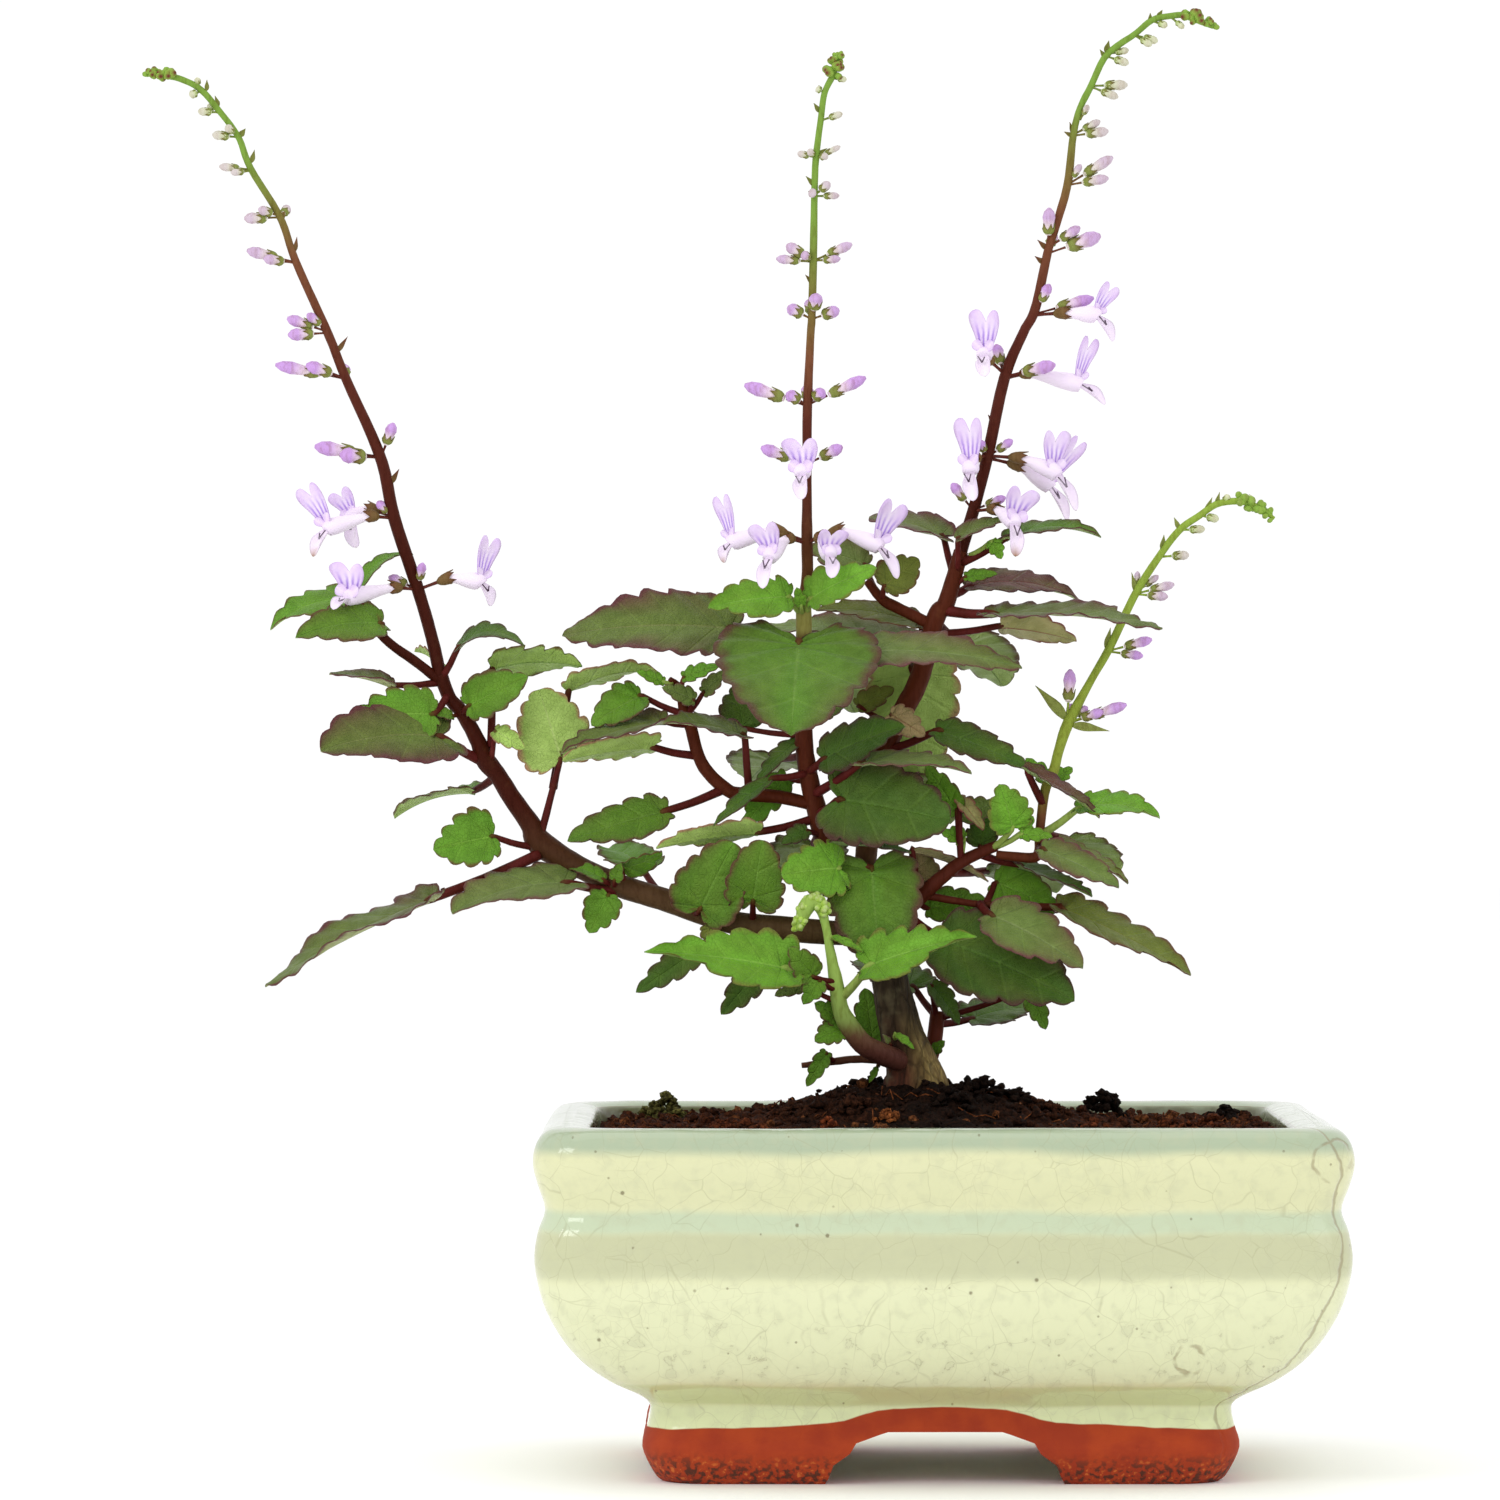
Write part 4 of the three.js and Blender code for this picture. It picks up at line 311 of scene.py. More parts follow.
"back_stub": """
-0.6 5.6 83.6 -1.6 3.4 90.4 3.7 2 83 0.5 -0.7 0.3 5.6 ovate 0.25 0.03 0.03 dark
-0.4 6 84 16.6 1.6 89.6 20 0 82 0.2 -0.95 0.2 5 ovate 0.2 0.03 0.03 green
-1.4 5 77.6 -1.2 3.6 77.8 0.8 2 79.8 0 -0.9 0.3 2.6 ovate 0.2 0 0 green
-0.8 6.4 84.6 -5 12 90 -16 22 95 0 -0.4 0.9 12 heart 0.15 0.05 0.04 mature
-1 6.4 83 6 13 84 18 22 86 0 -0.4 0.9 12 heart 0.15 0.05 0.04 mature
""",
}, 3, 3, 3, 3, 1, 1, 1, 1, 1, 1)
SPIKE_STEM = tables({
"left_spike": """
-94.7 8 150.6 1.25  -95.9 8 156 1.2  -98.5 8 165 1.2  -103 7.5 178.6 1.2  -105.6 7 190 1.1
-112.1 6 204.8 0.9  -115.6 5.5 213.6 0.85  -121.6 4.5 227 0.75  -124.5 4 235.2 0.7
-130.1 3 244.5 0.65  -132.4 3 250.4 0.6  -136.1 2.4 255.4 0.6  -139.6 2 259.4 1.2  -143.6 2 261.4 1
-147 2 262 0.8  -149.4 2 262 0.3
""",
"middle_spike": """
-25.5 2 163.4 1.2  -25 2 168 1.1  -25.1 2 174 1.15  -25.1 2 181 0.95  -25.1 2 188.8 0.9
-25 2 200 0.9  -24.4 2 213 0.75  -24.2 2 216.2 0.8  -23.9 2 227 0.75  -23.7 2 239.4 0.65
-23.4 2 246.4 0.65  -22.5 2 253.6 0.6  -21.8 2 258.6 0.9  -20.3 2 261.8 0.7  -19.8 2 263.6 1.2
-19.2 2 265.6 0.6
""",
"right_spike": """
4.4 5 173.7 1.25  6.5 5 180.6 1.15  9 5 190.3 1.15  12.2 4.6 205 1.1  15.7 4.4 213.4 0.95
18 4.2 218 0.95  20.4 4 229 0.85  22 4 234 0.8  24.1 3.6 241.6 0.8  25.1 3.4 250.4 0.7
26.4 3.2 255.7 0.65  28.6 3 260.2 0.65  31.4 3 265.8 0.65  36.8 3 269.8 0.6  40 3 272.4 0.6
43.4 3 273.2 0.6  46.6 3 273.3 0.9  49 3 272.2 0.9  51.6 3 271.1 0.4
""",
}, 4)
# Buds: start, end, widest radius
SPIKE_BUDS = tables({
"left_spike": """
-136 2.4 255 -140 1.6 255.2 0.8  -136 2.4 255.3 -138.2 3.6 256.4 0.6
-132.3 3 250.3 -137.3 3 250.8 0.9  -132.4 3 250.6 -134.8 1.6 252.4 0.8
-130 3 244.2 -136 3 244.8 0.8  -130 3 244 -133.8 1.4 243.6 0.7  -124.5 4 235.2 -131.3 4 235 1.1
-124.5 4 235.4 -128.6 2.4 236.8 0.9  -121.6 4.5 226.7 -130.8 4 229 1.1
-121.6 4.5 226.6 -127.6 2.6 227.4 1  -115.5 5.5 213.6 -123.2 5 216.2 1.1
-115.5 5.5 213.4 -123 3.6 213 1.2  -115.5 5.5 213.8 -119.4 4 217 0.9
-112 6 204.7 -125.4 6 207.4 1.2  -112 6 204.8 -119.6 4 207.4 1.2  -105.6 7 190 -118 7 192 1.4
-105.6 7 189.8 -113.2 4.6 190.4 1.5  -105.4 7 190 -103.1 6 196.4 1.1
-103 7.5 178.4 -106.2 7 181.6 0.9  -98.6 8 165 -97.6 6 170 0.9  -98.6 8 165 -104 9.4 167.4 1
-124.5 4 235.2 -123 8 237 0.9  -112 6 204.7 -112.5 11 207 1.1  -139.4 2 259 -141.6 1.4 258.2 0.8
-139.8 2 259.4 -140.2 2 261.6 0.6
""",
"middle_spike": """
-22.4 2 253.5 -18.4 1.4 254.8 0.7  -23.4 2 246.5 -26.9 2 247.3 0.7
-23.4 2 246.5 -24.8 0.4 247.8 0.7  -23.4 2 246.4 -18.8 2 248.6 0.6
-23.4 2 246.4 -21.2 0.6 246.8 0.7  -23.7 2 239.3 -20.8 1.4 241.8 0.9
-23.7 2 239.2 -19 2.6 239.3 0.7  -23.7 2 239.4 -24.2 0 239.9 0.8  -23.9 2 227 -29 2 230 1.1
-23.9 2 226.8 -30.9 3 227.4 0.9  -23.9 2 227 -26 0.4 228.3 0.9  -23.9 2 227 -16.6 2 230.2 1
-23.9 2 227 -18.8 0.8 227.4 0.8  -24.2 2 216 -28.8 2 218.3 1.2  -24.2 2 216 -19 2 217.8 1.2
-24.2 2 216 -23.2 0 220.8 1.3  -24.2 2 216 -24.6 5.6 219.4 1.1  -25 2 199.8 -29 1 202 1.2
-25 2 199.6 -36.9 2.6 203.6 1.3  -25 2 200 -21.8 1 202.6 1.2  -25 2 199.8 -14 2.6 205 1.2
-25 2 200 -25 6.4 203 1.2  -25.1 2 188.6 -33.8 2 191.8 1.2  -25.1 2 188.6 -18.4 2 192 1.2
-25.1 2 188.6 -25.4 7 191 1.2  -21.8 2 258.8 -23.4 2 259.6 0.7  -20.3 2 261.4 -17.6 2 261.2 0.6
""",
"right_spike": """
43.8 3 272.8 46 2 270.9 0.6  40.2 3 272.2 42.9 2.6 271.3 0.7  36.8 3 269.6 41.1 3 268.4 0.8
36.8 3 269.5 39.9 1.6 267.6 0.7  31.4 3 265.6 35.6 2 264.2 0.8  31.6 3 266 35.6 3.6 266.8 0.7
28.6 3 260 35.4 3 260.2 1  28.6 3 259.8 33.6 1.8 257.8 0.8  26.4 3.2 253.6 28 2 256.4 0.6
25.1 3.4 250.6 31.8 3.2 251.5 1  25.1 3.4 250.8 30.2 4 253.4 0.8  24.1 3.6 241.4 26.6 3 245.2 0.7
24.1 3.6 241.4 32.6 4 246.6 1.1  24.1 3.6 241.3 31.8 2.4 242.6 1  20.4 4 229 20.6 2 237 1.2
20.6 4 229.6 26.4 3 233.4 1  20.3 4 228.4 30.3 4 231.8 1.5  20.4 4 229 21.5 8.4 232 1.1
18 4.2 217.4 20.7 3 222.6 1  18 4.2 217 29 5.4 220 1.2  12 4.6 205.4 10.6 7 211.2 1.1
12.2 4.6 205.2 21.7 0.5 207.4 1.3  9 5 190 13.7 5 193.2 0.9  9 5 190 7.4 3.4 193 0.9
6.2 5 180 2.2 4.4 185 1  6.4 5 180 12.4 4.6 182.4 0.9  12.2 4.6 205 13 9 208.4 1.1
""",
"far_spike": """
24 2.2 140.4 24.6 4 149.9 1.2  24.4 2 139.8 35.2 2.5 143.3 1.1  24.4 2.1 140 30.8 1.2 142 1
24.6 2.2 140.4 27.8 4.2 142.8 0.8  31.8 4.9 153.4 40 5 155.6 1  31.8 4.9 153.3 38.3 3.8 152.4 0.9
37 5 164.2 44.2 4.9 166 0.9  37 5 164.1 43 3.8 163.6 0.9  37.2 5 164.6 41.2 6.2 167.6 0.7
37 5 164.4 37.3 6.3 168.4 0.6  42 4.1 171.2 47 4 171.5 0.9  45.4 2.5 176.2 50 2.5 176.4 0.8
49 2.4 179 52.6 2 178.2 0.8  53 2.3 181 54.6 2.3 182.8 0.7  57.6 2.3 181.4 59 2.3 182.6 0.7
24.2 2.1 140 25 6.8 143 1
""",
}, 3, 3, 1)
# Bracts: start, tip, width
SPIKE_BRACTS = tables({
"left_spike": """
-138.4 2 259 -138.3 2 261.2 0.9  -136.1 2.4 256 -136.8 2.4 258.2 0.9  -132.2 3 250.4 -131 3 252 1.2
-130 3 245.4 -129.3 3 248 1  -124.4 4 235 -123.6 4 236.4 1.2  -121.8 4.5 228.6 -121.3 4.5 231.6 0.9
-113.9 5.7 209.6 -111.7 6 212.8 1  -103.8 7 184.8 -102 7 187.8 1.1
""",
"middle_spike": """
-22.8 2 255 -23.8 2 256.8 1  -23.6 2 241 -25.3 2 243 1.1  -24 2 222.6 -25.4 2 224.4 1
-23.2 2 247 -21.2 2 248.3 0.8
""",
"right_spike": """
41 3 272.8 42 3 274.4 1  39.6 3 272 39.7 3 273.8 0.9  31.2 3 266.2 31.9 3 268.6 1.2
31 3 265.4 30.2 3 266.9 0.9  25 3.4 250.4 23.4 3.4 251.4 0.9  25 3.4 251 24.5 3.4 253.2 0.9
20.2 4 229 18.4 4 231 1.1  19.6 4 226.4 17.9 4 227.9 1.1  10.3 4.8 195.6 9.1 4.8 198 1.1
""",
"far_spike": """
24 2.1 140.2 18 3.4 146.9 2.3  24.6 1.8 139.4 32 0.3 138.3 1.8  31.2 5 153.8 32.2 5 157.8 1.3
36.8 5 164.4 36.2 4.7 168.2 1  41.8 3.9 172.4 42.3 3.2 175.3 1.2  45 2.5 176.4 44.2 2.4 178.6 1
50 2.4 179.4 51.4 2.3 182.4 1.1  52 2.3 180.8 52.8 2.2 183.4 0.9
""",
}, 3, 3, 1)
# Flowers: name, throat, mouth, top of upper lip, end of lower lip, spread, start
FLOWERS = table("""
left_bloom_1 -107.6 7 178.9 -115.4 5 176.6 -119.8 4 184.4 -118.6 4 171.4 4 -103 7.5 178.4
left_bloom_2 -107.4 10 180.2 -111 12 178.6 -113.6 12 183.6 -110.4 12 172.8 4 -103 7.8 178.6
left_bloom_3 -103.2 6 165.4 -111.6 -1 163.5 -111.6 -2 169.9 -114.6 -4 161.6 6 -98.6 8 165
left_bloom_4 -92.6 8 167.2 -86.6 8 166.4 -84.6 8 174.8 -84.4 8 162 3.4 -98.4 8 165
middle_bloom_1 -25.8 -1 188.4 -26 -4 187 -26.2 -4.6 193.4 -26.2 -7 182.2 6 -25.1 2 188.4
middle_bloom_2 -31 3 176.2 -39.4 3 173.9 -41.4 3 182.6 -41.2 3 170.2 3 -25.1 2.2 174
middle_bloom_3 -28.8 0 174.8 -32 -5 171.4 -33.4 -6 177.4 -33.6 -9 165.4 5 -25.1 2 173.6
middle_bloom_4 -22.6 -0.6 174.8 -20.9 -4 171.6 -20.2 -5 176.2 -20.4 -7.6 167.4 5 -25.1 2 173.8
middle_bloom_5 -18.9 2.6 176.2 -11.8 1.4 173.4 -8.2 0.6 181.4 -7.8 0 167.2 4.4 -25.1 2.2 174
right_bloom_1 23.6 3.6 217.2 29.4 3 216.8 32.6 3 222.4 33 3 212 3 18 4.2 216.8
right_bloom_2 8.9 3 208.6 8.3 0.6 209.4 8.6 0 217.6 8.4 -2 205.4 5 11.8 4.6 206
right_bloom_3 16.6 5 205.9 26 5 203.8 28.6 5 212.4 31.4 5 200.2 3 12.3 4.6 204.8
right_bloom_4 6.6 2 189.8 5.6 -0.4 187.6 5.4 -1 197.2 6.2 -2 181.8 4.6 9 5 190.2
right_bloom_5 15.4 4 189.8 21.6 3 187.2 22 2.4 194.8 26 2 180 4.6 9 5 190.2
right_bloom_6 15 7 188.4 20.4 9 184.8 26.6 9 193.2 24.4 9 178.2 3 9 5.4 189.8
right_bloom_7 10.6 0.5 180.2 13.9 -4.5 177.8 15.9 -5.5 184 14.4 -8 171.4 5.4 6.4 5 179.8
""", 1, 3, 3, 3, 3, 1, 3)

# Material slots of a plant piece
BLADE_SLOT, STEM_SLOT = 0, 1

# Half outline of each blade: (distance along the midrib, half width), base to tip
OUTLINES = tables({
    "ovate": "0 0  -0.06 0.26  -0.05 0.58  0.06 0.86  0.24 1  0.44 0.97  0.65 0.8  0.84 0.5"
             "  0.96 0.2  1 0",
    "heart": "0 0  -0.13 0.26  -0.16 0.56  -0.06 0.86  0.13 1.01  0.36 1  0.58 0.87  0.8 0.66"
             "  0.94 0.42  0.995 0.18  1 0",
    "spear": "0 0  -0.1 0.3  -0.09 0.7  0.07 0.98  0.28 1  0.48 0.82  0.64 0.54  0.79 0.32"
             "  0.92 0.14  1 0",
    "lance": "0 0  0.03 0.33  0.12 0.68  0.27 0.94  0.42 1  0.58 0.9  0.74 0.66  0.9 0.3  1 0",
    "bract": "0 0  0.08 0.5  0.2 0.85  0.34 1  0.48 0.9  0.62 0.65  0.76 0.4  0.88 0.2  1 0",
    "upper lip": "0 0  0.12 0.34  0.34 0.56  0.6 0.8  0.84 0.99  1.03 0.97  1.14 0.74"
                 "  1.14 0.44  1.02 0.18  0.84 0",
    "side lobe": "0 0  0.2 0.5  0.45 0.85  0.65 1  0.82 0.9  0.94 0.6  1 0.3  1 0",
    "lower lip": "0 0  0.15 0.55  0.3 0.8  0.5 1  0.7 1  0.86 0.8  0.96 0.45  1 0",
}, 2)


def rgb(*channels):
    """A screen colour, 0 to 255 a channel, as the linear colour that shaders take."""
    screen = (value / 255 for value in channels)
    return Vector([v / 12.92 if v <= 0.04045 else ((v + 0.055) / 1.055) ** 2.4 for v in screen])


def unit(value):
    """The value kept within 0 and 1."""
    return min(1, max(0, value))


# Kinds of leaf: upper side, margin, underside and midrib, how far the margin's colour
# washes in from the edge, and how much of it lies over the whole blade
LOOKS = {name: ([rgb(*tone) for tone in tones], margin, blush)
         for name, *tones, margin, blush in table("""
young 104 158 40  108 108 44  160 194 96  128 176 66  0 0
bright 92 142 34  98 66 40  162 194 100  118 164 56  0 0
green 90 136 30  90 56 42  154 180 98  108 148 50  0.3 0
mature 80 120 28  86 52 44  150 172 100  98 134 48  0.75 0.22
spot 86 128 30  92 54 42  150 176 98  104 142 50  0.6 0.3
dark 64 98 26  76 44 40  140 162 98  82 114 40  0.7 0.25
purple 90 106 44  90 42 48  164 172 108  110 118 62  0.9 0.75
grey 104 124 60  104 60 60  172 184 124  124 140 82  0.6 0.5
olive 102 112 40  96 56 38  158 170 98  118 122 54  0.5 0.4
pale 164 196 98  156 108 88  164 194 102  184 206 124  0 0.25
pink 160 158 100  124 46 54  176 168 116  150 62 68  0.8 0.5
maroon 92 46 42  70 28 34  158 180 104  110 44 46  0 0
tan 166 142 102  136 92 74  178 164 120  158 100 80  0 0
""", 1, 3, 3, 3, 3, 1, 1)}
BLOTCHES = {"spot": rgb(96, 52, 34), "olive": rgb(90, 60, 40)}
LIGHT_STALK = rgb(138, 160, 78)
CRIMSON = rgb(98, 34, 34)
LEAF_YELLOW = rgb(132, 158, 52)

# Colours of stems and flower parts
BARK = rgb(74, 62, 46)
TRUNK_TAN = rgb(174, 150, 92)
TRUNK_RED = rgb(84, 40, 26)
OLIVE_BROWN = rgb(86, 66, 42)
MAROON = rgb(78, 31, 14)
DARK_MAROON = rgb(60, 18, 6)
SPIKE_BROWN = rgb(86, 38, 27)
SPIKE_TAN = rgb(116, 72, 48)
SPIKE_BUD = rgb(134, 172, 70)
NODE_GREEN = rgb(138, 134, 70)
OLIVE = rgb(116, 114, 54)
SPIKE_GREEN = rgb(118, 152, 62)
YELLOW_GREEN = rgb(142, 166, 72)
SHOOT_BUD = rgb(168, 206, 82)
YOUNG_STEM = rgb(146, 176, 84)
CALYX_GREEN = rgb(136, 156, 78)
CALYX_BROWN = rgb(108, 54, 46)
BUD_GREEN = rgb(178, 196, 128)
BUD_VIOLET = rgb(194, 152, 214)
BUD_WHITE = rgb(236, 222, 222)
PETAL_WHITE = rgb(240, 228, 242)
PETAL_LILAC = rgb(212, 184, 230)
WITHERED = rgb(150, 104, 60)
STREAK = rgb(144, 102, 206)
THROAT = rgb(70, 48, 70)


def at(point):
    """The true place of a layout point."""
    x, y, z = point[:3]
    k = y / VIEW_DISTANCE
    return Vector((x + (x - VIEW_X) * k, y, z + (z - VIEW_Z) * k))


def layout(point):
    """The layout point of a true place."""
    k = point.y / VIEW_DISTANCE
    return ((point.x + VIEW_X * k) / (1 + k), point.y, (point.z + VIEW_Z * k) / (1 + k))


def between(a, b, k):
    return tuple(p + (q - p) * k for p, q in zip(a, b))


def spline(values, u):
    """A smooth curve through the values, u from 0 to 1."""
    place = unit(u) * (len(values) - 1)
    i = min(int(place), len(values) - 2)
    f = place - i
    a, b, c, d = (Vector(values[min(max(i + k, 0), len(values) - 1)]) for k in (-1, 0, 1, 2))
    return 0.5 * (2 * b + (c - a) * f + (2 * a - 5 * b + 4 * c - d) * f ** 2
                  + (3 * b - a - 3 * c + d) * f ** 3)


def gradient(stops, value):
    """The colour at value on a row of (value, colour) stops."""
    if value <= stops[0][0]:
        return stops[0][1]
    for (low, first), (high, second) in zip(stops, stops[1:]):
        if value <= high:
            return first.lerp(second, (value - low) / (high - low))
    return stops[-1][1]


def rough(point, size, seed=0):
    """Smooth noise from -1 to 1 whose lumps are about `size` across."""
    return noise.noise(point / size + Vector((seed * 7.3, seed * 3.1, seed * 1.7)))


def circle(count):
    """(turn, cosine, sine) of places evenly round a circle."""
    turns = (math.tau * i / count for i in range(count))
    return [(turn, math.cos(turn), math.sin(turn)) for turn in turns]


def around(along, side=Vector((0.3, 1, 0.2))):
    """Two directions square to the unit vector along, the first one nearest to side."""
    side = (side - along * side.dot(along)).normalized()
    return side, along.cross(side)


def link(name, data):
    piece = bpy.data.objects.new(name, data)
    bpy.context.scene.collection.objects.link(piece)
    return piece


def dress(name, mesh, node):
    piece = link(name, mesh)
    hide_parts(node)
    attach(piece, "root")


class Shape:
    """Points, faces and what the materials read at each point."""

    def __init__(self):
        self.points, self.tones, self.rims, self.places = [], [], [], []
        self.faces, self.slots = [], []

    def add(self, point, tone=Vector((0, 0, 0)), rim=None, place=(0, 0, 0)):
        self.points.append(point)
        self.tones.append(tone)
        self.rims.append(rim or tone)
        self.places.append(place)
        return len(self.points) - 1

    def face(self, corners, slot=0):
        corners = [c for i, c in enumerate(corners) if c != corners[i - 1]]
        if len(corners) > 2:
            self.faces.append(corners)
            self.slots.append(slot)

    def stack(self, rings, slot=0, lids=True):
        """Quads between closed rings of equal length, lowest first, and a lid at each end."""
        count = len(rings[0])
        for lower, upper in zip(rings, rings[1:]):
            for i in range(count):
                j = (i + 1) % count
                self.face([lower[i], lower[j], upper[j], upper[i]], slot)
        if lids:
            self.face(rings[0][::-1], slot)
            self.face(rings[-1], slot)

    def fan(self, ring, centre, slot=0, order=1):
        """Triangles between a ring and a point; order -1 faces them down."""
        for i, corner in enumerate(ring):
            self.face([corner, ring[(i + 1) % len(ring)], centre][::order], slot)

    def mesh(self, name, materials=()):
        mesh = bpy.data.meshes.new(name)
        mesh.from_pydata([(p + SHIFT) * MM for p in self.points], [], self.faces)
        for material in materials:
            mesh.materials.append(material)
        mesh.polygons.foreach_set("material_index", self.slots)
        for label, values in (("tone", self.tones), ("rim", self.rims), ("place", self.places)):
            layer = mesh.attributes.new(label, "FLOAT_VECTOR", "POINT")
            layer.data.foreach_set("vector", [part for value in values for part in value])
        mesh.shade_smooth()
        mesh.update()
        return mesh


def tube(shape, path, sides, paint, slot, lumps=0.0, lump_size=3.0):
    """A round stalk through (place, radius) pairs; paint(place, fraction) gives its colour."""
    rings = []
    side = Vector((0.2, 1, 0.1))
    last = len(path) - 1
    for i, (centre, radius) in enumerate(path):
        along = (path[min(i + 1, last)][0] - path[max(i - 1, 0)][0]).normalized()
        side, other = around(along, side)
        ring = []
        for turn, cosine, sine in circle(sides):
            out = side * cosine + other * sine
            point = centre + out * radius
            point += out * lumps * rough(point, lump_size)
            ring.append(shape.add(point, paint(point, i / last)))
        rings.append(ring)
    shape.stack(rings, slot, lids=False)
    for end, order in ((0, -1), (-1, 1)):
        centre = shape.add(path[end][0], shape.tones[rings[end][0]])
        shape.fan(rings[end], centre, slot, order)


def smooth_path(rows, step):
    """(place, radius) pairs about `step` apart on a smooth curve through (x, y, z, radius) rows."""
    knots = [(*at(row), row[3]) for row in rows]
    length = sum((Vector(a[:3]) - Vector(b[:3])).length for a, b in zip(knots, knots[1:]))
    count = max(4, round(length / step))
    values = (spline(knots, i / count) for i in range(count + 1))
    return [(Vector(value[:3]), max(value[3], 0.12)) for value in values]


def fine_edge(kind, length, half_width, samples=80):
    """(run, along, across) rows close together on the edge of a blade, run the way along it."""
    rows = []
    run = 0.0
    for i in range(samples + 1):
        t, s = spline(OUTLINES[kind], i / samples)
        if rows:
            run += math.hypot((t - rows[-1][1]) * length, (s - rows[-1][2]) * half_width)
        rows.append((run, t, s))
    return rows


def even_rows(fine, count):
    """(fraction, along, across) rows evenly spaced on a fine edge."""
    rows = []
    k = 0
    for j in range(count + 1):
        run = fine[-1][0] * j / count
        while k < len(fine) - 2 and fine[k + 1][0] < run:
            k += 1
        f = (run - fine[k][0]) / (fine[k + 1][0] - fine[k][0])
        rows.append((j / count, *between(fine[k][1:], fine[k + 1][1:], min(f, 1))))
    return rows


def blade(shape, base, tip, up, width, kind, height, colours, steps=0, thick=BLADE_THICK,
          bands=(0, 0.05, 0.3, 0.6, 0.86, 0.96, 1), slot=BLADE_SLOT, pitch=0, bite_share=0,
          rib=0, veins=4, petal=False):
    """A thin blade with an upper and an under skin. height(t, s, u, r) lifts a point off the
    flat, colours(u, r, upper) gives its tone and rim colour, pitch is the length of a scallop.
    A leaf's veins run along u, a petal's fan out from its base."""
    start = at(base)
    along = at(tip) - start
    length = along.length
    along.normalize()
    normal, across = around(along, Vector(up))
    fine = fine_edge(kind, length, width / 2)
    scallops = max(3, round(fine[-1][0] / pitch)) if pitch else 0
    steps = steps or scallops * STEPS_PER_SCALLOP
    edge = even_rows(fine, steps)
    # where the vein that ends at each edge row leaves the midrib
    feet = [0.0]
    for u, t, s in edge[1:]:
        foot = max(0.15 * u, t - VEIN_LEAN * s * width / 2 / length)
        feet.append(min(max(foot, feet[-1]), edge[-1][1]))
    feet[-1] = edge[-1][1]

    def point(j, r, hand):
        u, t_edge, s_edge = edge[j]
        bite = 0.0
        if scallops:
            bump = math.sin(math.pi * (u * scallops % 1) ** 1.2) ** 0.6
            arm = math.hypot((t_edge - feet[j]) * length, s_edge * width / 2)
            deep = pitch * bite_share * (1 + 0.4 * math.sin(5.1 * int(u * scallops) + hand + width))
            bite = min(0.4, deep * (1 - bump) / max(arm, 0.5)) * min(1, 6 * (1 - u))
        reach = r * (1 - bite * r ** 5)
        t = feet[j] + (t_edge - feet[j]) * reach
        s = s_edge * reach
        place = (hand * s / (t + 0.3), t, veins) if petal else (r * hand, u, veins)
        return (start + along * t * length + across * (hand * s * width / 2)
                + normal * height(t, s, u, r)), place

    layers = []
    for upper in (True, False):
        halves = []
        for hand in (-1, 1):
            columns = []
            for j, (u, t, s) in enumerate(edge):
                column = []
                for r in bands:
                    if j in (0, steps) and column:
                        column.append(column[0])
                    elif r == 0 and hand == 1:
                        column.append(halves[0][j][0])
                    else:
                        p, place = point(j, r, hand)
                        if not upper:
                            p -= normal * (thick * (1 - 0.45 * r ** 4)
                                           + rib * max(0, 1 - 8 * r) * (1 - u))
                        column.append(shape.add(p, *colours(u, r, upper), place))
                columns.append(column)
            halves.append(columns)
            for a, b in zip(columns, columns[1:]):
                for k in range(len(bands) - 1):
                    corners = [a[k], a[k + 1], b[k + 1], b[k]]
                    shape.face(corners if (hand == 1) == upper else corners[::-1], slot)
        layers.append(halves)
    for order, over, under in zip((-1, 1), *layers):
        for j in range(steps):
            corners = [over[j][-1], under[j][-1], under[j + 1][-1], over[j + 1][-1]]
            shape.face(corners[::order], slot)


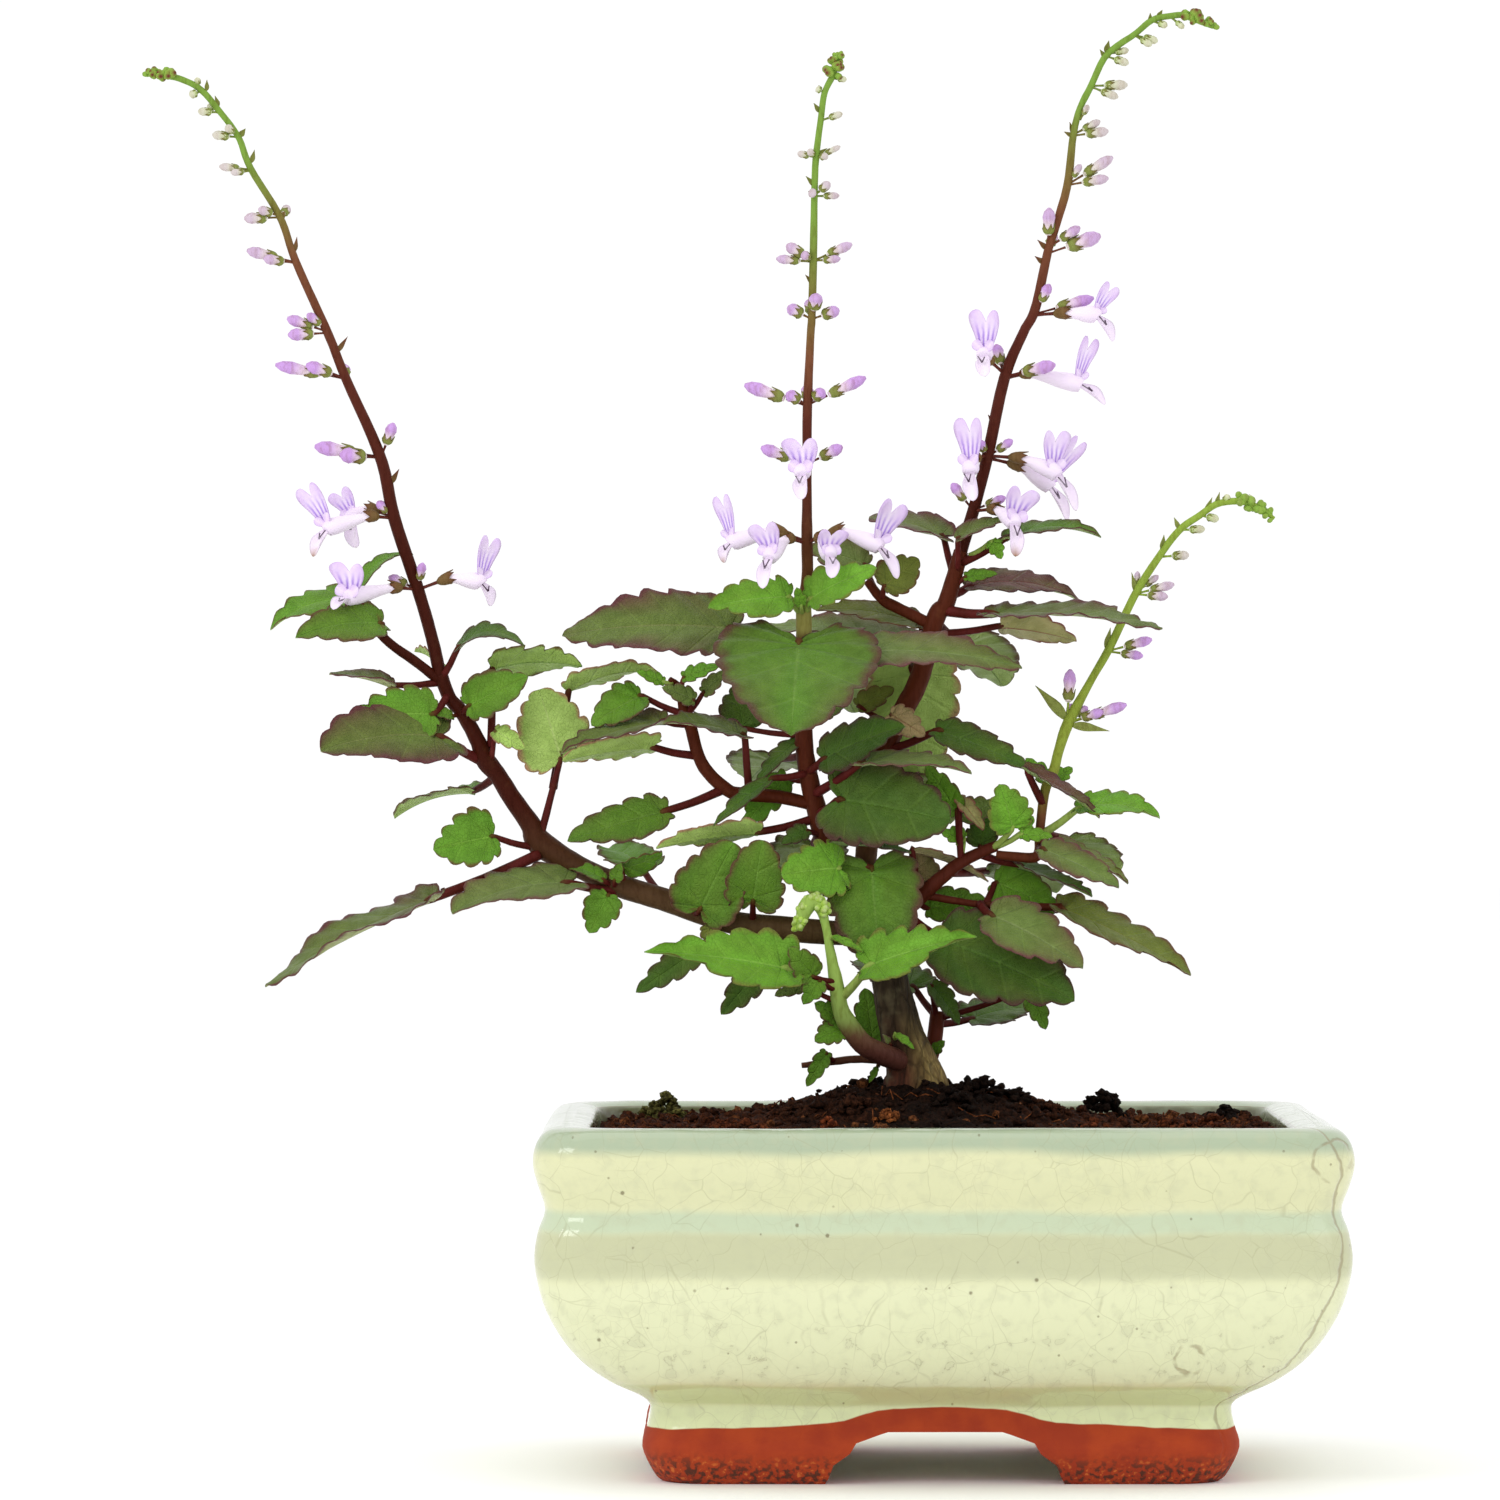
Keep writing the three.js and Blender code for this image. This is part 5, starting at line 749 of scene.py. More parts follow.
def leaf(shape, row):
    start, base, tip, up, width, kind, fold, bend, wave, look = row
    (upper_tone, rim, under_tone, rib_tone), margin, blush = LOOKS[look]
    blotch = BLOTCHES.get(look)
    young = look == "young"
    origin = at(base)
    length = (at(tip) - origin).length
    veins = max(4, round(length / VEIN_GAP))
    waves = 2 + sum(length >= limit for limit in WAVE_LENGTHS)
    number = len(shape.points)

    def height(t, s, u, r):
        swell = math.sin(math.pi * min(r, 1)) * (1 - u) ** 0.5
        crumple = math.sin(5 * math.pi * waves * u + number) * r ** 3
        return (fold * abs(s) * width / 2 + bend * length * 4 * t * (1 - t)
                + wave * width * math.sin(math.pi * waves * u) * r * r
                - CRUMPLE * width * math.cos(2 * math.pi * veins * u) * swell
                + CRUMPLE * width * crumple)

    def colours(u, r, upper):
        patch = rough(origin + Vector((u * length, r * width, number % 97)), 5.5)
        wash = unit(0.35 + 1.3 * rough(origin + Vector((u * length, r * width / 2, 50)), 7, 3))
        if upper:
            tone, painted_edge_shade, blush_share, margin_share = upper_tone, 0.22, 1, 1
        else:
            tone, painted_edge_shade, blush_share, margin_share = under_tone, 0.06, 0.3, 0.4
        # painted shade: the blade is darker towards its margins, as if curved away from the light
        # (painted_edge_shade, stronger on the upper side); it is also a little darker towards its
        # base, and patch adds random lighter and darker areas
        tone = tone * (1.05 + 0.24 * patch - 0.08 * (1 - u) - painted_edge_shade * r * r)
        tone = tone.lerp(LEAF_YELLOW, 0.22 * max(0, 0.3 - patch))
        tone = tone.lerp(rim, blush * wash * (0.25 + 0.75 * r) * blush_share)
        tone = tone.lerp(rim, margin * min(1, 0.4 + wash) * r ** 5 * margin_share)
        if r < 0.03:
            tone = rib_tone.lerp(CRIMSON, 0.4 if upper and u < 0.3 and not young else 0.0)
        if blotch and r < 0.5 and u < 0.2:
            tone = tone.lerp(blotch, 0.6)
        return tone, rim

    def stalk_paint(place, fraction):
        tone = CRIMSON.lerp(DARK_MAROON, 0.5 + 0.5 * rough(place, 4, 11))
        return (LIGHT_STALK if young else tone).lerp(upper_tone, max(0, fraction - 0.6) * 0.9)

    blade(shape, base, tip, up, width, kind, height, colours, rib=RIB_THICK, veins=veins,
          pitch=min(SCALLOP_LIMIT, 1.1 + 0.17 * length),
          bite_share=YOUNG_BITE if look in ("young", "bright") else BITE)
    radius = min(0.95, 0.36 + length * 0.022)
    x, y, z = between(start, base, 0.5)
    path = smooth_path([(*start, radius * 1.15), (x, y, z - 0.3, radius),
                        (*base, radius * 0.85), (*between(base, tip, 0.06), 0.2)], 1.2)
    tube(shape, path, 8, stalk_paint, STEM_SLOT, 0.04, 1.5)


def straight_stalk(shape, start, end, radii, step, sides, tone, slot=STEM_SLOT):
    """A stalk of one tone through (fraction, radius) places on the line from start to end."""
    path = smooth_path([(*between(start, end, k), radius) for k, radius in radii], step)
    tube(shape, path, sides, lambda place, fraction: tone, slot)


def lathe(shape, start, end, profile, sides, squeeze):
    """A round body from (fraction, radius, tone) rows along the line from start to end."""
    origin = at(start)
    along = at(end) - origin
    side, other = around(along.normalized())
    rings = [[shape.add(origin + along * fraction
                        + (side * cosine + other * squeeze * sine) * radius, tone)
              for turn, cosine, sine in circle(sides)] for fraction, radius, tone in profile]
    shape.stack(rings, STEM_SLOT)


def calyx(shape, start, throat, mouth_radius, tone, teeth=5):
    """The bell that holds a bud or a flower, with pointed teeth."""
    origin = at(start)
    along = at(throat) - origin
    length = along.length
    along.normalize()
    side, other = around(along)
    spokes = [(turn, side * cosine + other * sine) for turn, cosine, sine in circle(teeth * 4)]
    rings = []
    for k, (fraction, radius) in enumerate(CALYX_RINGS):
        ring = []
        for turn, out in spokes:
            tooth = (k == len(CALYX_RINGS) - 1) * (0.5 + 0.5 * math.cos(turn * teeth))
            flute = 1 + 0.06 * math.cos(turn * teeth * 2)
            point = (origin + along * (length * fraction + 1.1 * mouth_radius * tooth ** 1.5)
                     + out * radius * mouth_radius * flute)
            ring.append(shape.add(point, tone.lerp(CALYX_BROWN, 0.6 * tooth + 0.05 * k)))
        rings.append(ring)
    lip = [shape.points[i] for i in rings[-1]]
    rings.append([shape.add(p - out * 0.16, tone) for p, (turn, out) in zip(lip, spokes)])
    deep = origin + along * length * 0.8
    rings.append([shape.add(deep + out * mouth_radius * 0.6, tone) for turn, out in spokes])
    shape.stack(rings, STEM_SLOT)


def bud(shape, row, age, stalk_tone):
    """A closed flower: stalk, calyx and folded corolla. age is 0 at the tip of the spike."""
    start, end, radius = row
    radius *= BUD_SWELL
    tip = BUD_WHITE.lerp(BUD_GREEN, 0.6).lerp(BUD_VIOLET, min(1, age * 1.7))
    foot = BUD_GREEN.lerp(BUD_WHITE, min(1, age * 2))
    neck = radius * (0.92 - 0.3 * age)
    straight_stalk(shape, start, end, ((0, 0.28), (0.2, 0.22), (0.34, 0.28)), 1, 6, stalk_tone)
    calyx(shape, between(start, end, 0.16), between(start, end, 0.5), radius * 0.84,
          CALYX_GREEN.lerp(CALYX_BROWN, 0.25 * age))
    profile = [(0.36, radius * 0.5, foot), (0.48, neck, foot),
               (0.62, (neck + radius) / 2, foot.lerp(tip, 0.4)), (0.78, radius * 1.1, tip),
               (0.91, radius * 0.86, tip), (1, radius * 0.26, tip)]
    lathe(shape, start, end, profile, 10, 0.86)


def bract(shape, row, tone):
    start, tip, width = row
    blade(shape, start, tip, (0.3, -0.9, 0.2), width, "bract",
          lambda t, s, u, r: 0.25 * abs(s) * width,
          lambda u, r, upper: (tone.lerp(CALYX_GREEN, 0.3 * (1 - u)), tone),
          8, 0.25, (0, 0.5, 1), STEM_SLOT)


def tapered(rows):
    """The rows with no radius larger than one before it."""
    return [(*row[:3], min(other[3] for other in rows[:i + 1])) for i, row in enumerate(rows)]


def tip_buds(shape, rows, count, reach, large, small, tone, end_tone):
    """Tiny buds crowded on the last reach millimetres of a stem, large ones first."""
    path = smooth_path(rows, TIP_STEP)[-round(reach / TIP_STEP):]
    for i in range(count):
        centre = path[i * (len(path) - 1) // count][0]
        out = Vector((draw.uniform(-1, 1), draw.uniform(-1, 0.6),
                      draw.uniform(-0.4, 1))).normalized()
        size = draw.uniform(0.85, 1.15) * (large + (small - large) * i / count)
        own = tone.lerp(YELLOW_GREEN, draw.random() * 0.6)
        profile = [(0, size * 0.5, own), (0.3, size, own), (0.7, size * 1.1, own),
                   (0.92, size * 0.7, own.lerp(end_tone, 0.5)), (1, size * 0.25, end_tone)]
        lathe(shape, layout(centre + out * 0.3), layout(centre + out * (0.7 + 1.9 * size)),
              profile, 8, 0.9)


def age_at(z, z_bloom, z_top):
    """A bud's age by its height: 1 near the open flowers, 0 at the tip."""
    return 1 - unit((z - z_bloom) / (z_top - z_bloom))


def spike(shape, stem, buds, bracts, flowers, stops, z_bloom, z_top):
    """A flower stem with its buds, bracts and calyces; stops colour it by height."""
    foot = Vector(stem[0][:3])
    foot -= (Vector(stem[1][:3]) - foot).normalized() * SPIKE_FOOT
    rows = tapered([(*foot, stem[0][3]), *stem])
    tube(shape, smooth_path(rows, 1.5), 10, lambda p, f: gradient(stops, p.z), STEM_SLOT, 0.05, 1.6)
    for row in buds:
        z = row[0][2]
        bud(shape, row, age_at(z, z_bloom, z_top), gradient(stops, z).lerp(CALYX_BROWN, 0.3))
    for row in bracts:
        bract(shape, row, gradient(stops, row[0][2]).lerp(CALYX_BROWN, 0.5))
    for name, throat, mouth, top, end, spread, start in flowers:
        straight_stalk(shape, start, throat, ((0, 0.36), (0.35, 0.3), (0.62, 0.36)), 0.8, 8,
                       CALYX_BROWN.lerp(DARK_MAROON, 0.4))
        calyx(shape, start, throat, CALYX_MOUTH, CALYX_BROWN.lerp(CALYX_GREEN, 0.25))
    tip_buds(shape, stem, count=26, reach=12, large=0.8, small=0.45,
             tone=SPIKE_BUD, end_tone=CALYX_BROWN)


def flower(shape, row):
    """An open two-lipped corolla: tube, erect upper lip, side lobes, boat-shaped lower lip
    and the dark V of the stamens in its throat."""
    name, throat, mouth, top, end, spread, start = row
    withered = name in ("left_bloom_1", "middle_bloom_2", "right_bloom_7")
    path = [(*between(start, throat, 0.92), 0.7), (*between(throat, mouth, 0.25), 1),
            (*between(throat, mouth, 0.6), 1.5), (*between(throat, mouth, 0.92), 1.7),
            (*between(mouth, end, 0.12), 1.3)]
    tube(shape, smooth_path(path, 0.6), 14, lambda p, f: PETAL_WHITE.lerp(PETAL_LILAC, 0.3 * f),
         BLADE_SLOT, 0.06, 2)
    sign = math.copysign(1, mouth[0] - throat[0])
    facing = Vector((sign * 0.5, -0.85, 0.1))
    rise = at(top) - at(mouth)
    across = rise.normalized().cross(facing.normalized())
    lip_bands = (0, 0.25, 0.5, 0.75, 1)

    def upper_height(t, s, u, r):
        return (-0.5 * math.sin(math.pi * min(t, 1)) + 0.22 * spread * s * s * t
                - 0.35 * t * t * abs(s))

    def boat_height(t, s, u, r):
        return 1.15 * s * s * math.sin(math.pi * unit(0.15 + 0.75 * t)) - 0.3 * t

    def lip_colours(u, r, upper):
        return PETAL_WHITE.lerp(PETAL_LILAC, 0.35 + 0.65 * r), STREAK

    def boat_colours(u, r, upper):
        tone = PETAL_WHITE.lerp(PETAL_LILAC, 0.3 * r)
        if withered and u > 0.72:
            tone = tone.lerp(WITHERED, min(1, (u - 0.72) * 3.5))
        return tone, PETAL_LILAC

    blade(shape, between(mouth, top, -0.06), between(mouth, top, 0.88), facing, spread * 1.3,
          "upper lip", upper_height, lip_colours, 24, PETAL_THICK, lip_bands, veins=7, petal=True)
    foot = between(mouth, top, 0.04)
    for hand in (-1, 1):
        aim = layout(at(foot) + across * hand * spread * 0.42 + rise * 0.24 + facing * 0.5)
        blade(shape, foot, aim, facing, spread * 0.42, "side lobe", lambda t, s, u, r: 0.3 * s * s,
              lip_colours, 12, 0.18, (0, 0.4, 0.75, 1), veins=3, petal=True)
    blade(shape, between(mouth, end, -0.05), end, (sign * 0.35, -0.55, 0.75), LOWER_LIP_WIDTH,
          "lower lip", boat_height, boat_colours, 16, PETAL_THICK, lip_bands, veins=1, petal=True)
    point = layout(at(between(mouth, end, 0.42)) + facing * 0.9)
    for hand in (-1, 1):
        arm = layout(at(between(mouth, end, 0.16)) + facing * 1.1 + across * hand * 0.75)
        straight_stalk(shape, arm, point, ((0, 0.15), (0.5, 0.13), (1, 0.2)), 0.5, 5, THROAT,
                       BLADE_SLOT)


# Materials
class Value:
    """A shader output that makes a Math node when it is added, subtracted or multiplied."""

    def __init__(self, surface, socket):
        self.surface, self.socket = surface, socket

    def __add__(self, other):
        return self.surface.math("ADD", self, other)

    def __sub__(self, other):
        return self.surface.math("SUBTRACT", self, other)

    def __mul__(self, other):
        return self.surface.math("MULTIPLY", self, other)

    def __pow__(self, other):
        return self.surface.math("POWER", self, other)

    def __abs__(self):
        return self.surface.math("ABSOLUTE", self)


class Surface:
    """A Principled material and short ways to add nodes to it."""

    def __init__(self, name, **values):
        self.material = bpy.data.materials.new(name)
        self.material.use_nodes = True
        self.tree = self.material.node_tree
        self.shader = self.tree.nodes["Principled BSDF"]
        for socket, value in values.items():
            self.shader.inputs[socket.replace("_", " ")].default_value = value
        self.place = self.node("TexCoord", output="Object")

    def put(self, value, socket):
        if isinstance(value, Value):
            self.tree.links.new(value.socket, socket)
        elif isinstance(value, Vector) and socket.type == "RGBA":
            socket.default_value = (*value, 1)
        else:
            socket.default_value = value

    def node(self, kind, inputs=None, output=0, **settings):
        """One output of a new node with these inputs and settings."""
        node = self.tree.nodes.new("ShaderNode" + kind)
        for key, value in settings.items():
            setattr(node, key, value)
        for key, value in (inputs or {}).items():
            self.put(value, node.inputs[key])
        return Value(self, node.outputs[output])

    def math(self, operation, *values):
        return self.node("Math", dict(enumerate(values)), operation=operation)

    def step(self, value, low, high, first=0.0, last=1.0):
        """A smooth ramp of value from low to high."""
        return self.node("MapRange", {"Value": value, "From Min": low, "From Max": high,
                                      "To Min": first, "To Max": last},
                         interpolation_type="SMOOTHSTEP")

    def fade(self, value, low, high):
        """A smooth ramp from 1 at low to 0 at high."""
        return self.step(value, low, high, 1.0, 0.0)

    def blend(self, factor, first, second, how="MIX"):
        return self.node("Mix", {"Factor": factor, 6: first, 7: second}, 2, data_type="RGBA",
                         blend_type=how)

    def tinted(self, tone, tint):
        return self.blend(1.0, tone, tint, "MULTIPLY")

    def noise(self, scale, detail=3.0, distortion=0.0, vector=None, output="Fac"):
        return self.node("TexNoise", {"Vector": vector or self.place, "Scale": scale,
                                      "Detail": detail, "Distortion": distortion}, output)

    def cells(self, scale, feature="F1", vector=None, output="Distance"):
        return self.node("TexVoronoi", {"Vector": vector or self.place, "Scale": scale}, output,
                         feature=feature)

    def attribute(self, name, output="Vector"):
        return self.node("Attribute", output=output, attribute_name=name)

    def split(self, vector):
        return [self.node("SeparateXYZ", {"Vector": vector}, axis) for axis in range(3)]

    def along_grain(self, stretch):
        """The place with its upright axis scaled by stretch, for streaks."""
        return self.node("Mapping", {"Vector": self.place, "Scale": (1.0, 1.0, stretch)})

    def finish(self, colour, roughness=None, height=None, distance=0.0003, strength=1.0):
        self.put(colour, self.shader.inputs["Base Color"])
        if roughness is not None:
            self.put(roughness, self.shader.inputs["Roughness"])
        if height is not None:
            bump = self.node("Bump", {"Height": height, "Distance": distance, "Strength": strength},
                             "Normal")
            self.put(bump, self.shader.inputs["Normal"])
        return self.material


def leaf_material():
    s = Surface("leaf_blade", Specular_IOR_Level=0.2, Sheen_Weight=0.06, Sheen_Roughness=0.4)
    tone = s.attribute("tone")
    across, along, count = s.split(s.attribute("place"))
    reach = abs(across)
    vein = s.step(abs(s.math("FRACT", along * count) - 0.5), 0.42, 0.5)
    rib = s.fade(reach, 0.0, 0.07)
    fine = s.fade(s.cells(1300, "DISTANCE_TO_EDGE"), 0.0, 0.12)
    mottle = s.noise(420, 4)
    colour = s.blend(s.step(mottle, 0.35, 0.7, 0.0, 0.55), tone, s.tinted(tone, rgb(206, 212, 190)))
    lighter = s.blend(1.0, tone, rgb(84, 108, 44), "SCREEN")
    colour = s.blend(vein * 0.2, colour, lighter)
    colour = s.blend(fine * 0.1, colour, lighter)
    ragged = reach + (s.noise(420, 3) - 0.5) * 0.3
    colour = s.blend(s.step(ragged, 0.8, 1.0, 0.0, 0.9), colour, s.attribute("rim"))
    height = vein * -0.7 + fine * -0.35 + rib * -0.5 + s.noise(2600, 3) * 0.3
    return s.finish(colour, s.step(mottle, 0.3, 0.75, 0.45, 0.62), height, 0.0003, 0.8)


def stem_material():
    s = Surface("plant_stem", Specular_IOR_Level=0.07)
    tone = s.attribute("tone")
    streak = s.noise(1500, 4, 0.4, s.along_grain(0.25))
    colour = s.blend(s.step(streak, 0.4, 0.75, 0.0, 0.5), tone, s.tinted(tone, rgb(196, 176, 150)))
    colour = s.blend(s.step(s.noise(500, 2), 0.55, 0.8, 0.0, 0.12), colour,
                     s.blend(1.0, tone, rgb(96, 72, 44), "SCREEN"))
    return s.finish(colour, s.step(streak, 0.3, 0.8, 0.45, 0.65), streak, 0.00015, 0.7)


def petal_material():
    s = Surface("petal", Specular_IOR_Level=0.3, Roughness=0.55)
    tone = s.attribute("tone")
    across, along, count = s.split(s.attribute("place"))
    wobble = (s.noise(900, 2) - 0.5) * 0.12
    turns = s.math("FRACT", (across + wobble) * 2.6)
    line = s.fade(abs(turns - 0.5), 0.04, 0.4)
    middle = s.step(along, -0.1, 0.08) * s.fade(along, 0.45, 0.95)
    streaked = s.step(count, 5.0, 6.0)
    soft = s.blend(s.step(s.noise(500, 3), 0.4, 0.75, 0.0, 0.35), tone, rgb(238, 230, 244))
    colour = s.blend(line * middle * streaked * 0.8, soft, s.attribute("rim"))
    return s.finish(colour, None, s.noise(1800, 2), 0.0001, 0.4)


def bark_material():
    s = Surface("bark", Specular_IOR_Level=0.12)
    grain = s.along_grain(0.3)
    streak = s.noise(650, 6, 0.6, grain)
    crack = s.fade(s.cells(420, "DISTANCE_TO_EDGE", grain), 0.0, 0.1)
    tone = s.attribute("tone")
    colour = s.blend(s.step(streak, 0.35, 0.7), s.tinted(tone, rgb(176, 168, 160)), tone)
    colour = s.blend(crack * 0.4, colour, rgb(34, 26, 18))
    colour = s.blend(s.step(s.noise(180, 3), 0.55, 0.75, 0.0, 0.4), colour, rgb(120, 112, 84))
    height = streak - crack * 0.5
    return s.finish(colour, s.step(streak, 0.3, 0.7, 0.7, 0.9), height, 0.0005, 0.9)


def soil_material():
    s = Surface("potting_soil", Specular_IOR_Level=0.06)
    tone = s.attribute("tone")
    grain = s.noise(1600, 5, 0.4)
    colour = s.blend(s.step(grain, 0.35, 0.7), s.tinted(tone, rgb(120, 110, 104)), tone)
    return s.finish(colour, s.step(grain, 0.3, 0.7, 0.75, 0.98), grain, 0.0006, 1.0)


def pot_material():
    s = Surface("celadon_glaze")
    x, y, z = (part * 1000.0 for part in s.split(s.place))
    wall = s.attribute("wall")
    skin = s.node("VectorMath", {0: wall, 1: (1, 1, 0)}, operation="MULTIPLY")
    drift = (s.noise(26, 3) - 0.5) * 2.6
    level = z + GROUND + drift

    def band(low, high, soft):
        return s.step(level, low - soft, low + soft) * s.fade(level, high - soft, high + soft)

    colour = s.blend(s.noise(60, 4, 0.5), rgb(214, 214, 172), rgb(206, 208, 165))
    for low, high, soft, tone, weight in GLAZE_BANDS:
        colour = s.blend(band(low, high, soft) * weight, colour, tone)
    cloud = s.noise(0.35, 4, 0.3, skin)
    colour = s.blend(s.step(cloud, 0.45, 0.75, 0.0, 0.3), colour, rgb(180, 182, 150))
    # crackle net, thin lines about 5 mm apart with shorter ones between
    warp = s.noise(0.1, 2, 0.0, skin, "Color")
    flow = s.node("VectorMath", {0: warp, 1: (7.0, 7.0, 0.0), 2: skin}, operation="MULTIPLY_ADD")
    net = s.fade(s.cells(0.17, "DISTANCE_TO_EDGE", flow), 0.0, 0.02)
    short = s.fade(s.cells(0.4, "DISTANCE_TO_EDGE", flow), 0.0, 0.03)
    short = short * 0.35 * s.step(s.noise(0.05, 2, 0.0, skin), 0.4, 0.6)
    net = net * s.step(s.noise(0.12, 2, 0.0, skin), 0.35, 0.6, 0.1, 0.6)
    crackle = s.math("MAXIMUM", net, short)
    colour = s.blend(crackle * 0.45, colour, rgb(146, 142, 106))
    # brown specks and pits

    def dots(scale, small, large, channel, few, many):
        chosen = s.split(s.cells(scale, vector=skin, output="Color"))[channel]
        return s.fade(s.cells(scale, vector=skin), small, large) * s.step(chosen, few, many)

    pits = dots(0.4, 0.06, 0.12, 1, 0.8, 0.82)
    speck = s.math("MAXIMUM", dots(0.16, 0.03, 0.08, 0, 0.45, 0.5), pits * 0.7)
    colour = s.blend(speck * 0.75, colour, rgb(104, 92, 58))
    # wavy brown seam inside the right front corner, tide lines and two ring marks
    run = s.split(wall)[2] + (s.noise(60, 4) - 0.5) * 9.0
    line = s.fade(abs(run - SEAM_RUN), 0.1, 0.5)
    tide = s.fade(abs(cloud - 0.63), 0.0, 0.012) * (band(20.0, 31.0, 3.0) * 0.5)
    line = s.math("MAXIMUM", line, tide)
    for ring_x, ring_z, radius in RING_MARKS:
        away = s.math("SQRT", (x - (ring_x + SHIFT.x)) ** 2.0 + (z - (ring_z + SHIFT.z)) ** 2.0)
        away = away + (s.noise(190, 3) - 0.5) * 3.6
        ring = s.fade(abs(away - radius), 0.08, 0.5) * s.step(s.noise(240, 2), 0.36, 0.56)
        line = s.math("MAXIMUM", line, ring * s.fade(y, -40.0, -30.0))
    colour = s.blend(line * 0.55, colour, rgb(134, 116, 84))
    # damp brown stain on the wall above the soil
    inner = s.attribute("inner", "Fac")
    stain = inner * s.step(s.noise(160, 4), 0.35, 0.65, 0.35, 0.9)
    colour = s.blend(stain, colour, rgb(96, 90, 56))
    lip = s.step(inner, 0.02, 0.12) * s.fade(inner, 0.3, 0.5)
    colour = s.blend(lip * s.step(s.noise(200, 3), 0.3, 0.5, 0.2, 0.8), colour, rgb(112, 74, 40))
    # bare clay on the feet, its edge higher over the arches
    edge = s.attribute("bare", "Fac") + (s.noise(90, 2) - 0.5) * 1.2
    bare = s.fade(edge, -0.15, 0.15)
    clay_grain = s.noise(900, 5)
    clay = s.blend(s.step(s.noise(160, 4), 0.3, 0.7), rgb(150, 42, 0), rgb(168, 56, 2))
    grain = s.fade(level, 2.0, 6.5)
    clay = s.blend(s.step(clay_grain, 0.48, 0.6, 0.0, 0.9) * grain, clay, rgb(66, 32, 12))
    clay = s.blend(s.step(clay_grain, 0.3, 0.42, 0.8, 0.0) * grain, clay, rgb(206, 108, 40))
    colour = s.blend(bare, colour, clay)
    roughness = s.step(bare, 0.0, 1.0, 0.07, 0.85)
    height = (s.noise(150, 3) * 0.7 + crackle * -0.1 + clay_grain * bare * grain * 1.2
              - s.math("MAXIMUM", speck, line) * 0.5)
    return s.finish(colour, roughness, height, 0.0006, 0.5)


# The pot: (half length, z) profiles
POT_OUTSIDE = table("""
51.6 -0.3  53 1.2  55.1 6.2  54.2 10  53.7 12.6  53.9 14.2  55.8 15.8  61.2 18.8  66.1 22.8  70 27.8
73 34  74.5 41.2  73.9 46.8  72.6 50.9  73.9 55.4  74.8 59.4  74.2 63  72.4 65.3  70 66
""", 2)
POT_INSIDE = table("""
45 16.5  50.5 19  56.5 24  62 32  64.6 44  64.4 56  64.6 63.8  65.6 65.4  68 66
""", 2)
RIM_INSIDE = 65.2
POT_OUTLINE = (10, (14, 30))
OUTSIDE_STEPS = 72
INSIDE_STEPS = 26

# wall_place: an offset so that the back's marks differ from the front's, and a run with no seam
BACK_OFFSET = 200
NO_SEAM = -99

# Bands of the glaze: (lower z, upper z, softness, tone, weight)
GLAZE_BANDS = [
    (61.8, 70, 1.2, rgb(144, 164, 142), 0.75), (47.1, 51, 0.9, rgb(178, 196, 170), 0.7),
    (38.8, 47.1, 0.8, rgb(172, 176, 142), 0.6), (19.4, 38.8, 2.4, rgb(220, 224, 186), 0.7),
    (14.4, 18.6, 0.4, rgb(192, 200, 148), 0.8), (8, 14.4, 0.5, rgb(214, 222, 174), 0.8),
]
RING_MARKS = [(44.1, 23.6, 2.8), (69.6, 60.4, 3.6)]


def glaze_rise(x):
    """How much higher the glaze ends near the arch: a long slope and a step over the shoulder."""
    step = unit((21 - abs(x)) / 11)
    return 2.1 * max(0, 1 - abs(x) / 52) + 2.2 * step * step * (3 - 2 * step)


def rounded_outline(half_length, half_depth, radius, corner_steps, side_steps):
    """(x, y) points round a rounded rectangle, counter-clockwise."""
    radius = min(radius, half_depth - 2)
    across, deep = half_length - radius, half_depth - radius
    points = []
    for index, (sx, sy) in enumerate(((1, -1), (1, 1), (-1, 1), (-1, -1))):
        x, y = POT_CENTRE_X + sx * across, sy * deep
        for k in range(corner_steps):
            turn = math.radians(90 * (index - 1 + k / corner_steps))
            points.append((x + radius * math.cos(turn), y + radius * math.sin(turn)))
        turn = math.radians(90 * index)
        x, y = x + radius * math.cos(turn), y + radius * math.sin(turn)
        for k in range(side_steps[index % 2]):
            run = 2 * (across if index % 2 else deep) * k / side_steps[index % 2]
            points.append((x - math.sin(turn) * run, y + math.cos(turn) * run))
    return points


def pot_outline(half, corner_steps, side_steps):
    return rounded_outline(half, half - POT_INSET, CORNER_RADIUS, corner_steps, side_steps)


def solid(rings):
    """A closed solid of rings of places, lowest first."""
    shape = Shape()
    shape.stack([[shape.add(Vector(place)) for place in ring] for ring in rings])
    return shape


def loft(profile):
    """Rounded outlines stacked along a (half length, z) profile."""
    return solid([[(x, y, z) for x, y in pot_outline(half, *POT_OUTLINE)] for half, z in profile])


def smooth_profile(profile, count):
    return [profile[0]] + [spline(profile, i / count) for i in range(1, count + 1)]


def arch_cutter(arch, reach, along_x):
    """A prism through the pot: straight at the foot, a slanted shoulder, flat at the top."""
    bottom, top, height = arch["bottom"], arch["top"], arch["height"]
    shoulder = (bottom + top) / 2 + 1
    right = [(bottom + 1, GROUND - 1), (bottom + 0.6, GROUND), (bottom, GROUND + 1.2),
             (bottom - 0.9, GROUND + 3.6), (shoulder + 0.6, height - 4),
             (shoulder - 0.6, height - 2), (top + 1.6, height - 0.5), (top, height)]
    outline = right + [(-a, z) for a, z in right[::-1]]
    if along_x:
        return solid([[(end, a, z) for a, z in outline] for end in (-reach, reach)])
    return solid([[(a, end, z) for a, z in outline[::-1]] for end in (-reach, reach)])


def recess_cutter():
    length, depth = FOOT_RING_INNER
    rings = []
    for grow, z in ((1, GROUND - 1), (-1, RECESS_TOP)):
        outline = rounded_outline(length + grow, depth + grow, RECESS_CORNER, 5, (2, 2))
        rings.append([(x, y, z) for x, y in outline])
    return solid(rings)


